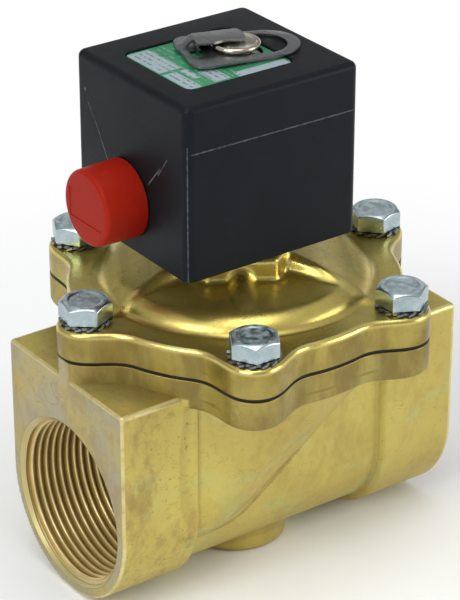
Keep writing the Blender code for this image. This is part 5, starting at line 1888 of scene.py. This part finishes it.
    def build(self) -> Mesh:
        """Cover with its chamber, tube bore, pilot nozzle and bolt holes.

        Returns:
            The finished mesh.
        """
        low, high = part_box("bonnet")
        margin = 2 * self.step
        low = low - Vector((margin, margin, 5 * self.step))
        mesh = skin_field("bonnet_casting", self.form, low, high + Vector((margin,) * 3), self.step)
        roof = self.plateau - self.dome_wall
        roof_edge = self.chamber - self.dome_rise
        floor, ledge = self.hub_top - self.bore_depth, self.hub_top - self.ring_depth
        above, tip = self.hub_top + PAST, floor + self.nozzle_rise
        cutters = [
            round_bar("flat_face", 80 * MM, self.base - 20 * MM, self.base, steps=24),
            lathe("chamber_roof", [
                (0.0, roof), (roof_edge - self.dome_wall, roof), (roof_edge, roof - self.dome_wall / 2),
                (self.chamber, self.base - PAST), (0.0, self.base - PAST),
            ]),
            lathe("tube_bore", [
                (self.nozzle, above), (self.ring_pocket, above), (self.ring_pocket, ledge),
                (self.shank, ledge), (self.shank, floor), (self.nozzle, floor),
            ]),
            lathe("nozzle_bore", [
                (0.0, above), (self.nozzle + 0.3 * MM, above), (self.nozzle + 0.3 * MM, tip),
                (self.nozzle_bore, tip),
                (self.nozzle_bore, roof - PAST), (0.0, roof - PAST),
            ], 48),
            round_bar("vent", 1.2 * MM, roof - PAST, floor + PAST, (0.0, 4.4 * MM), 24),
        ]
        return smooth(carve(mesh, cutters + FLANGE.holes(self.base - FAR_PAST, self.flange_top + FAR_PAST)))

    def dress(self) -> None:
        """Add the cover."""
        add_piece("bonnet_casting", self.build(), BONNET_BRASS, Body.VALVE, "polished_brass", ["bonnet"])


@dataclass
class Fasteners:
    """Six hexagon screws and their toothed lock washers."""

    flats: float = 12.7 * MM
    head_height: float = 5.2 * MM
    dish_radius: float = 4.9 * MM
    dish_depth: float = 0.4 * MM
    shank: float = 3.97 * MM
    washer_inner: float = 4.3 * MM
    washer_root: float = 6.3 * MM
    washer_outer: float = 7.2 * MM
    teeth: int = 14
    head_turns: tuple[float, ...] = (12.0, 40.0, 5.0, 22.0, 0.0, 33.0)

    def screw(self, node: str, turn: float) -> Mesh:
        """One screw, with eased edges.

        Args:
            node: Solid that it stands for.
            turn: Turn of its head in degrees.

        Returns:
            The screw's mesh.
        """
        low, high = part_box(node)
        centre = middle(node)
        seat = high.z - self.head_height
        mesh = screw_tree().run(
            node, ZINC, Flats=self.flats, Head_Height=self.head_height, Dish_Radius=self.dish_radius,
            Dish_Depth=self.dish_depth, Shank_Radius=self.shank, Shank_Length=seat - low.z,
            Turn=math.radians(turn), X=centre.x, Y=centre.y, Z=seat,
        )
        return smooth(bevelled(mesh, 0.28 * MM, 24.0), 30.0)

    def washer(self, node: str, turn: float) -> Mesh:
        """One lock washer.

        Args:
            node: Solid that it stands for.
            turn: Turn of its teeth in degrees.

        Returns:
            The washer's mesh.
        """
        low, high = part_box(node)
        centre = middle(node)
        mesh = star_washer_tree().run(
            node, DARK_ZINC, Inner_Radius=self.washer_inner, Root_Radius=self.washer_root,
            Outer_Radius=self.washer_outer, Sheet=high.z - low.z, Twist=math.radians(21), Teeth=self.teeth,
            Turn=math.radians(turn), X=centre.x, Y=centre.y, Z=centre.z,
        )
        return smooth(mesh, 30.0)

    def dress(self) -> None:
        """Add every screw and washer."""
        for number, turn in enumerate(self.head_turns, 1):
            bolt, washer = f"bonnet_bolt_{number}", f"lock_washer_{number}"
            screw, star = self.screw(bolt, turn), self.washer(washer, 3 * turn)
            add_piece(f"screw_{number}", screw, ZINC, Body.VALVE, "zinc_plate", [bolt])
            add_piece(f"star_washer_{number}", star, DARK_ZINC, Body.VALVE, "zinc_plate", [washer])


@dataclass
class SoftParts:
    """Diaphragm and the two return springs."""

    stem_hole: float = 4.1 * MM
    web_flat: float = 23.5 * MM
    web: float = 1.0 * MM
    rim: float = 0.6 * MM
    join: float = 37.5 * MM
    main_wire: float = 1.2 * MM
    main_foot: float = 15.0 * MM
    main_head: float = 10.5 * MM
    main_curls: float = 4.0
    core_wire: float = 0.7 * MM
    core_curls: float = 8.0
    steps: int = 240

    def diaphragm(self) -> Mesh:
        """Sheet with a lobed flat rim, one rolled convolution and a flat middle.

        Returns:
            The sheet's mesh.
        """
        low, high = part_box("diaphragm")
        angles = np.linspace(0.0, math.tau, self.steps, endpoint=False)
        outer = FLANGE.reach(angles)
        middle, web_z = high.z - self.rim / 2, low.z + self.web / 2
        path = [(self.stem_hole, web_z, self.web), (self.web_flat, web_z, self.web)]
        for share in np.linspace(0.08, 1.0, 12):
            radius = self.web_flat + (self.join - self.web_flat) * share
            height = web_z + (middle - web_z) * float(ease(0.0, 0.85, np.array(share)))
            path.append((radius, height, self.web + (self.rim - self.web) * share))
        flat = [np.full(self.steps, radius) for radius, _, _ in path] + [(self.join + outer) / 2, outer]
        heights = [(z, thick) for _, z, thick in path] + [(middle, self.rim)] * 2
        upper, lower = [], []
        for radii, (z, thick) in zip(flat, heights):
            ring = [(r * math.cos(a), r * math.sin(a)) for r, a in zip(radii, angles)]
            upper.append([(x, y, z + thick / 2) for x, y in ring])
            lower.append([(x, y, z - thick / 2) for x, y in ring])
        mesh = skin("diaphragm_sheet", upper + lower[::-1], closed=True)
        return smooth(carve(mesh, FLANGE.holes(low.z, high.z + FAR_PAST)), 50.0)

    def spring(self, node: str, foot: float, head: float, wire: float, curls: float) -> Mesh:
        """Wound spring.

        Args:
            node: Solid that it stands for.
            foot: Radius of the wire's centre at the bottom.
            head: Radius at the top.
            wire: Wire diameter.
            curls: Number of turns.

        Returns:
            The spring's mesh.
        """
        low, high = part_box(node)
        return smooth(spring_tree().run(
            f"{node}_coils", SPRING_STEEL, Foot_Radius=foot, Head_Radius=head, Wire=wire, Curls=curls,
            Base=low.z + wire / 2, Height=high.z - low.z - wire,
        ), 50.0)

    def dress(self) -> None:
        """Add the soft pieces, each with a mesh of its own."""
        sheet = add_piece(
            "diaphragm_sheet", self.diaphragm(), RUBBER, Body.VALVE, "black_rubber", ["diaphragm"]
        )
        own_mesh(sheet)
        main = self.spring("main_spring", self.main_foot, self.main_head, self.main_wire, self.main_curls)
        piece = add_piece(
            "main_spring_coils", main, SPRING_STEEL, Body.VALVE, "spring_steel", ["main_spring"]
        )
        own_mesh(piece)
        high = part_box("core_spring")[1]
        radius = high.x - self.core_wire / 2
        core = self.spring("core_spring", radius, radius, self.core_wire, self.core_curls)
        piece = add_piece(
            "core_spring_coils", core, SPRING_STEEL, Body.VALVE, "spring_steel", ["core_spring"]
        )
        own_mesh(piece)


@dataclass
class CoreTube:
    """Turned tube that the coil drops over, with its hexagon flange and knob."""

    radius: float = 7.0 * MM
    bore: float = 6.2 * MM
    shank: float = 10.0 * MM
    flange_flats: float = 24.0 * MM
    flange_height: float = 2.4 * MM
    knob: float = 6.8 * MM
    knob_height: float = 1.4 * MM
    dish: float = 0.45 * MM
    neck: float = 4.5 * MM
    sink: float = 1.2 * MM

    def build(self) -> Mesh:
        """Tube, flange and knob in one.

        Returns:
            The finished mesh.
        """
        low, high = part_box("core_tube")
        tube_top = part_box("coil_housing")[1].z - self.sink
        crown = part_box("core_stop")[1].z + GAP
        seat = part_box("bonnet")[1].z + GAP
        round_top = self.knob_height / 2
        rim = arc((self.knob - round_top, high.z - round_top), round_top, 150, -90, 14)
        shoulder = arc((self.radius - 0.5 * MM, tube_top - 0.5 * MM), 0.5 * MM, 90, 0, 4)
        body = lathe("core_tube_turned", [
            (0.0, high.z - self.dish), (self.knob - 2.2 * round_top, high.z - self.dish), *rim,
            (self.neck, high.z - self.knob_height), (self.neck, tube_top), *shoulder,
            (self.radius, seat + self.flange_height / 2), (self.shank, seat + self.flange_height / 2),
            (self.shank, low.z + 0.5 * MM), (self.shank - 0.5 * MM, low.z),
            (self.bore, low.z), (self.bore, crown), (0.0, crown),
        ])

        def outline(inset: float) -> list[Point]:
            """Hexagon of the flange, drawn in by an inset."""
            return arc((0.0, 0.0), (self.flange_flats - 2 * inset) / math.sqrt(3), 30, 390, 6)[:-1]

        rings = eased_rings(outline, seat, seat + self.flange_height, 0.2 * MM, 0.5 * MM, 2)
        plate = skin("tube_flange", rings)
        plate = carve(plate, [round_bar("flange_bore", self.bore + 0.3 * MM, seat - PAST, seat + 9 * MM)])
        return smooth(carve(body, [plate], "UNION"), 32.0)

    def dress(self) -> None:
        """Add the tube."""
        add_piece("core_tube_turned", self.build(), NICKEL, Body.VALVE, "stainless", ["core_tube"])


@dataclass
class CoilUnit:
    """Moulded coil housing with its plate, winding and conduit spigot."""

    corner: float = 2.6 * MM
    top_edge: float = 1.9 * MM
    wall: float = 4.0 * MM
    roof: float = 4.2 * MM
    bore: float = 7.3 * MM
    recess_length: float = 34.2 * MM
    recess_width: float = 30.8 * MM
    recess_shift: float = -2.6 * MM
    recess_depth: float = 1.2 * MM
    recess_corner: float = 2.5 * MM
    spigot_radius: float = 9.4 * MM
    spigot_root: float = 8.6 * MM
    spigot_bore: float = 7.5 * MM
    spigot_pitch: float = 1.5 * MM
    wire: float = 0.8 * MM
    low: Vector = field(init=False)
    high: Vector = field(init=False)

    def __post_init__(self) -> None:
        """Take the housing's limits from its solid."""
        self.low, self.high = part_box("coil_housing")

    @property
    def centre(self) -> Vector:
        """Middle of the housing."""
        return (self.low + self.high) / 2

    def outline(self, inset: float) -> list[Point]:
        """Housing's outline, drawn in by an inset."""
        half, centre = (self.high - self.low) / 2, (self.centre.x, self.centre.y)
        return rounded_box(half.x - inset, half.y - inset, self.corner - inset, centre, 10)

    def recess(self, inset: float) -> list[Point]:
        """Outline of the plate's recess.

        Args:
            inset: Distance that it is drawn in.

        Returns:
            Points round the outline.
        """
        centre = (self.centre.x + self.recess_shift, self.centre.y)
        half_x, half_y = self.recess_length / 2 - inset, self.recess_width / 2 - inset
        return rounded_box(half_x, half_y, self.recess_corner - inset, centre, 8)

    def housing(self) -> Mesh:
        """Box with round edges, open below, with a bore, a recess and a spigot hole.

        Returns:
            The finished mesh.
        """
        bottom, top = self.low.z, self.high.z
        box = skin("coil_moulding", eased_rings(self.outline, bottom, top, 0.6 * MM, self.top_edge, 8))
        half = (self.high - self.low) / 2
        cavity = rounded_box(half.x - self.wall, half.y - self.wall, 2.4 * MM, (self.centre.x, self.centre.y))
        mouth = [[(x, y, top - self.recess_depth) for x, y in self.recess(0.0)]]
        mouth.append([(x, y, top - 0.3 * MM) for x, y in self.recess(0.0)])
        mouth.append([(x, y, top + 0.5 * MM) for x, y in self.recess(-0.8 * MM)])
        nipple = middle("conduit_spigot")
        hole = round_bar("spigot_hole", self.spigot_root + GAP, -2 * self.wall, 2 * self.wall)
        return smooth(carve(box, [
            slab("cavity", cavity, bottom - PAST, top - self.roof),
            round_bar("tube_hole", self.bore, bottom, top + PAST),
            skin("plate_recess", mouth),
            towards_x(hole, 1, (self.low.x, nipple.y, nipple.z)),
        ]), 32.0)

    def plate(self) -> Mesh:
        """Printed plate in the recess.

        Returns:
            The plate's mesh.
        """
        low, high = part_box("nameplate")
        sheet = slab("printed_sheet", self.recess(0.3 * MM), low.z, high.z)
        hole = round_bar("plate_hole", self.bore, low.z - PAST, high.z + PAST)
        return smooth(bevelled(carve(sheet, [hole]), 0.1 * MM, 40.0))

    def spigot(self) -> Mesh:
        """Hollow nipple with its outside thread and a plain root.

        Returns:
            The spigot's mesh.
        """
        low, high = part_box("conduit_spigot")
        length = self.low.x - GAP - low.x
        axis = middle("conduit_spigot")
        mesh = thread_tree().run(
            "spigot_thread", ZINC, Pitch=self.spigot_pitch, Length=length, Crest_Radius=self.spigot_radius,
            Root_Radius=self.spigot_radius - 0.7 * MM, Wall_Radius=self.spigot_bore, Mouth_Radius=0.0,
            Rows=70, Facets=96,
        )
        far, near = high.x - low.x, length - 0.3 * MM
        root = lathe("spigot_root", [
            (self.spigot_bore, far), (self.spigot_root, far),
            (self.spigot_root, near), (self.spigot_bore, near),
        ])
        return smooth(towards_x(carve(mesh, [root], "UNION"), 1, (low.x, axis.y, axis.z)), 45.0)

    def winding(self) -> Mesh:
        """Copper winding whose outer layer shows each turn of the wire.

        Returns:
            The winding's mesh.
        """
        low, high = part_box("coil_winding")
        inner = self.bore + 1.5 * MM
        mesh = thread_tree().run(
            "winding_turns", COPPER, Pitch=self.wire, Length=high.z - low.z, Crest_Radius=high.x,
            Root_Radius=high.x - self.wire / 2, Wall_Radius=inner, Mouth_Radius=0.0, Rows=300, Facets=64,
        )
        mesh.transform(Matrix.Translation((0.0, 0.0, low.z)))
        return smooth(mesh, 50.0)

    def dress(self) -> None:
        """Add the coil's pieces."""
        for name, mesh, finish, slot, node in (
            ("coil_moulding", self.housing(), COIL_BLACK, "black_coating", "coil_housing"),
            ("printed_sheet", self.plate(), LABEL, "printed_plate", "nameplate"),
            ("spigot_thread", self.spigot(), ZINC, "zinc_plate", "conduit_spigot"),
            ("winding_turns", self.winding(), COPPER, "copper", "coil_winding"),
        ):
            add_piece(name, mesh, finish, Body.COIL, slot, [node])


@dataclass
class ConduitCap:
    """Red pull-off cap over the spigot."""

    draft: float = 0.35 * MM
    rim: float = 1.3 * MM
    bore: float = 9.7 * MM
    end_wall: float = 1.8 * MM
    panel: Point = (4.3 * MM, 7.7 * MM)
    panel_depth: float = 0.16 * MM

    def build(self) -> Mesh:
        """Cup with a rounded rim and a sunk plain panel in its end.

        Returns:
            The cap's mesh.
        """
        low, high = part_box("conduit_cap")
        length, radius = high.x - low.x, (high.y - low.y) / 2
        tip = radius - self.draft
        edge = arc((tip - self.rim, length - self.rim), self.rim, 90, 4, 8)
        lip = arc((radius - 0.35 * MM, 0.35 * MM), 0.35 * MM, 0, -90, 4)
        mesh = lathe("conduit_cap_cup", [
            (0.0, length), *edge, *lip,
            (self.bore + 0.3 * MM, 0.0), (self.bore, 0.4 * MM), (self.bore, length - self.end_wall),
            (0.0, length - self.end_wall),
        ], 128)
        outline = rounded_box(*self.panel, 1.0 * MM, (0.0, 0.0), 5)
        mesh = carve(mesh, [slab("cap_panel", outline, length - self.panel_depth, length + PAST)])
        axis = middle("conduit_cap")
        return smooth(towards_x(mesh, -1, (high.x, axis.y, axis.z)))

    def dress(self) -> None:
        """Add the cap."""
        add_piece("conduit_cap_cup", self.build(), CAP_RED, Body.CAP, "red_plastic", ["conduit_cap"])


@dataclass
class RetainingClip:
    """Stamped spring clip: keyhole, finger loop, tail slot and a shelf that is raised over the knob."""

    angle: float = -17.6
    sheet: float = 0.7 * MM
    tail: float = 14.8 * MM
    tail_half: float = 11.2 * MM
    corner: float = 4.0 * MM
    loop: float = 9.1 * MM
    travel: float = 7.1 * MM
    hole: float = 7.1 * MM
    tip: float = 17.7 * MM
    neck: float = 4.8 * MM
    slot_length: float = 3.6 * MM
    slot_width: float = 5.6 * MM
    slot_shift: float = -1.2 * MM
    shelf_start: float = -11.0 * MM
    shelf_end: float = 1.7 * MM
    shelf_front: float = -1.5 * MM
    shelf_rear: float = 5.9 * MM
    wave: float = 0.4 * MM
    leg_width: float = 2.4 * MM
    ramp_run: float = 3.4 * MM
    bottom: float = field(init=False)
    raised: float = field(init=False)

    def __post_init__(self) -> None:
        """Take the plate's and the shelf's heights from the solid."""
        low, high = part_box("retaining_clip")
        self.bottom, self.raised = low.z, high.z - self.sheet

    def outline(self) -> list[Point]:
        """Outer edge: a wide tail drawn in to a round finger loop.

        Returns:
            Points round the outline.
        """
        corner = Vector((self.corner - self.tail, self.tail_half - self.corner))
        loop = Vector((self.tip - self.loop, 0.0))
        run = loop - corner
        tangent = math.atan2(run.y, run.x) + math.acos((self.corner - self.loop) / run.length)
        degrees = math.degrees(tangent)
        upper = arc(tuple(corner), self.corner, degrees, 180.0, 10)
        lower = [(x, -y) for x, y in reversed(upper)]
        return arc(tuple(loop), self.loop, -degrees, degrees, 48) + upper + lower

    def keyhole(self) -> list[Point]:
        """Round hole that passes the knob, run into a narrower end round the neck.

        Returns:
            Points round the outline.
        """
        meet = math.degrees(math.asin(self.neck / self.hole))
        wide = arc((self.travel, 0.0), self.hole, meet - 180, 180 - meet, 40)
        return wide + arc((0.0, 0.0), self.neck, 90, 270, 24)

    def plate(self) -> Mesh:
        """Flat part of the stamping.

        Returns:
            A closed mesh.
        """
        below, above = self.bottom - PAST, self.bottom + FAR_PAST
        centre = (self.corner / 2 - self.tail + self.slot_length / 2, self.slot_shift)
        slot = rounded_box(self.slot_length / 2, self.slot_width / 2, 0.6 * MM, centre, 4)
        flat = slab("clip_stamping", self.outline(), self.bottom, self.bottom + self.sheet)
        openings = {"keyhole": self.keyhole(), "tail_slot": slot}
        return carve(flat, [slab(name, edge, below, above) for name, edge in openings.items()])

    def shelf(self) -> Mesh:
        """Raised strip, whose front edge swings a little and whose end is round.

        Returns:
            A closed mesh.
        """
        period = 9.0 * MM
        edge: list[Point] = []
        for x in np.linspace(self.shelf_start, self.shelf_end, 33):
            edge.append((x, self.shelf_front + self.wave * math.cos(math.tau * (x + 2.9 * MM) / period)))
        half = (self.shelf_rear - edge[-1][1]) / 2
        for turn in np.radians(np.linspace(-80, 80, 12)):
            bulge = 1.2 * MM * math.cos(turn)
            edge.append((self.shelf_end + bulge, self.shelf_rear - half + half * math.sin(turn)))
        edge += arc((self.shelf_start + 1 * MM, self.shelf_rear - 1 * MM), 1 * MM, 90, 180, 5)
        return slab("clip_shelf", edge, self.raised, self.raised + self.sheet)

    def supports(self) -> list[Mesh]:
        """Leg turned down at the tail end, ramp up from the plate and slope down behind.

        Returns:
            Closed meshes that meet the shelf.
        """
        thin, half = self.sheet * 0.94, self.sheet / 2
        level, top = self.bottom + half, self.raised + half
        bend = arc((self.shelf_start + 1.0 * MM, top - 0.7 * MM), 0.7 * MM, 90, 180, 6)
        down = [(self.shelf_start + 2 * MM, top), *bend, (bend[-1][0], level + 0.1 * MM)]
        leg = strip("clip_leg", down, thin, self.leg_width)
        leg.transform(Matrix.Translation((0.0, self.shelf_front + 0.6 * MM + self.leg_width / 2, 0.0)))
        shares = np.linspace(0.0, 1.0, 9)
        start = self.shelf_start - self.ramp_run
        reach, lift = self.ramp_run + 0.6 * MM, top - level
        rise = [(start + reach * t, level + lift * float(ease(0.0, 1.0, t))) for t in shares]
        width = self.shelf_rear - self.shelf_front - self.leg_width - 1.6 * MM
        climb = [(start - 0.8 * MM, level), *rise, (self.shelf_start + 1.6 * MM, top)]
        ramp = strip("clip_ramp", climb, thin, width)
        ramp.transform(Matrix.Translation((0.0, self.shelf_rear - width / 2 - 0.1 * MM, 0.0)))
        rings = []
        for x, near, far, height in (
            (self.shelf_start + 1.5 * MM, self.shelf_rear - 0.4 * MM, 9.9 * MM, self.raised),
            (-1.2 * MM, self.shelf_rear - 0.4 * MM, 9.8 * MM, self.raised),
            (0.6 * MM, self.shelf_rear + 0.9 * MM, 9.6 * MM, self.raised - 1.1 * MM),
            (2.2 * MM, self.shelf_rear + 1.9 * MM, 9.3 * MM, self.bottom + 0.1 * MM),
        ):
            foot = self.bottom + 0.05 * MM
            rings.append([(x, near, height), (x, far, foot), (x, far, foot + thin), (x, near, height + thin)])
        return [leg, ramp, skin("clip_slope", rings)]

    def build(self) -> Mesh:
        """Stamped plate with its raised shelf.

        Returns:
            The clip's mesh.
        """
        clip = carve(self.plate(), [self.shelf(), *self.supports()], "UNION")
        clip.transform(Matrix.Rotation(math.radians(self.angle), 4, "Z"))
        return smooth(bevelled(clip, 0.1 * MM, 35.0), 32.0)

    def dress(self) -> None:
        """Add the clip."""
        add_piece("clip_stamping", self.build(), SPRING_STEEL, Body.CLIP, "spring_steel", ["retaining_clip"])


@dataclass
class InnerPieces:
    """Solids whose shape stays, with a finish for each."""

    finishes: dict[str, Finish] = field(default_factory=lambda: {
        "main_seal": RUBBER, "pilot_seal": RUBBER, "tube_o_ring": RUBBER,
        "lower_support_plate": STAINLESS, "upper_support_plate": STAINLESS, "disc_stem": STAINLESS,
        "disc_nut": STAINLESS, "spring_washer": SPRING_STEEL, "core": SOFT_IRON, "core_stop": SOFT_IRON,
        "coil_base_plate": SOFT_IRON, "yoke": SOFT_IRON, "shading_ring": COPPER, "bobbin": BOBBIN_WHITE,
    })

    def dress(self) -> None:
        """Give each solid its finish."""
        for name, finish in self.finishes.items():
            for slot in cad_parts[name].material_slots:
                slot.material = finish.material()
            LOG.info("%s: solid kept, finish %s", name, finish.name)


# Studio


@dataclass(frozen=True)
class PaleFloor(Finish):
    """Seamless pale floor that fades to white away from the valve."""

    colour: Colour = (0.90, 0.90, 0.90)
    near: float = 0.10
    far: float = 0.26

    def write(self, tree: ShaderTree) -> None:
        """Write the nodes.

        Args:
            tree: Material's tree.
        """
        where = tree.place()
        speck = tree.ramp(tree.noise(where, 30 * MM), 0.2, 0.8)
        pale = tree.mix(speck, self.colour, tuple(0.985 * c for c in self.colour))
        tree.shade(Base_Color=pale, Roughness=0.9, Specular_IOR_Level=0.1)
        reach = tree.add("ShaderNodeVectorMath", {0: where}, operation="LENGTH").outputs["Value"]
        share = tree.times(tree.seen(), tree.ramp(reach, self.near, self.far))
        white = tree.out("ShaderNodeEmission", {"Color": (1.0, 1.0, 1.0, 1.0), "Strength": 1.0})
        nodes = tree.tree.nodes
        both = tree.out("ShaderNodeMixShader", {0: share, 1: nodes["Principled BSDF"].outputs[0], 2: white})
        tree.feed(nodes["Material Output"].inputs["Surface"], both)


@dataclass(frozen=True)
class Lamp:
    """Soft square light."""

    name: str
    place: Place
    power: float
    colour: Colour
    side: float = 0.6

    def hang(self, target: Vector) -> None:
        """Put the lamp in the scene.

        Args:
            target: Point that it is aimed at.
        """
        data = bpy.data.lights.new(self.name, "AREA")
        data.shape = "RECTANGLE"
        data.size = data.size_y = self.side
        data.energy = self.power
        data.color = self.colour
        item = linked(self.name, data)
        item.location = self.place
        item.rotation_euler = (target - item.location).to_track_quat("-Z", "Y").to_euler()


@dataclass
class Studio:
    """Camera, soft lights, pale world and floor."""

    target: Vector = field(default_factory=lambda: Vector((-1.15, 0.83, 73.1)) * MM)
    sight: Vector = field(default_factory=lambda: Vector((-0.519, -0.722, 0.457)))
    distance: float = 738.42 * MM
    lens: float = 160.0
    sensor: float = 36.0
    floor_half: float = 3.0
    floor_gap: float = 0.2 * MM
    lamps: tuple[Lamp, ...] = (
        Lamp("key", (-0.85, -0.32, 0.72), 6.8, (0.93, 0.98, 1.0)),
        Lamp("fill", (0.80, -0.80, 0.40), 5.2, (1.0, 0.99, 0.97)),
        Lamp("overhead", (-0.10, -0.15, 1.05), 2.9, (0.97, 0.99, 1.0)),
    )

    def camera(self) -> None:
        """Set the camera at the photograph's angle."""
        data = bpy.data.cameras.new("camera")
        data.lens = self.lens
        data.sensor_width = self.sensor
        item = linked("camera", data)
        item.location = self.target + self.sight.normalized() * self.distance
        item.rotation_euler = (-self.sight).to_track_quat("-Z", "Y").to_euler()
        bpy.context.scene.camera = item

    def world(self) -> None:
        """Pale surround, lighter above than at the horizon, which is white where it is seen."""
        world = bpy.data.worlds.new("surround")
        bpy.context.scene.world = world
        world.use_nodes = True
        tree = NodeTree(world.node_tree)
        up = tree.axes(tree.add("ShaderNodeTexCoord").outputs["Generated"])[2]
        skyline = tree.times(tree.seen(), tree.ramp(up, 0.13, 0.26, 1.0, 0.0))
        shade = tree.most(tree.ramp(up, 0.25, 0.95, 0.26, 0.66), skyline)
        background = world.node_tree.nodes["Background"].inputs
        tree.feed(background["Color"], tree.out("ShaderNodeCombineColor", {0: shade, 1: shade, 2: shade}))
        tree.feed(background["Strength"], 1.0)

    def floor(self) -> None:
        """Lay the floor under the valve."""
        bm = bmesh.new()
        bmesh.ops.create_grid(bm, x_segments=8, y_segments=8, size=self.floor_half)
        mesh = frozen("floor", bm)
        mesh.transform(Matrix.Translation((0.0, 0.0, CAD_BOX[0][2] - self.floor_gap)))
        mesh.materials.append(PaleFloor("pale_floor").material())
        item = linked("floor", mesh)

    def build(self) -> None:
        """Set up the whole studio."""
        bpy.context.scene.view_settings.view_transform = "Standard"
        self.camera()
        for lamp in self.lamps:
            lamp.hang(self.target)
        self.world()
        self.floor()
        LOG.info("studio: camera, three lamps, world and floor")


def main() -> None:
    """Build and dress the valve, then set up the studio."""
    logging.basicConfig(level=logging.INFO, format="%(name)s: %(message)s")
    for assembly in (
        BodyCasting(), Bonnet(), Fasteners(), SoftParts(), CoreTube(), CoilUnit(), ConduitCap(),
        RetainingClip(), InnerPieces(),
    ):
        assembly.dress()
        LOG.info("%s dressed", type(assembly).__name__)
    Studio().build()
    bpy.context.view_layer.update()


if __name__ == "__main__":
    main()
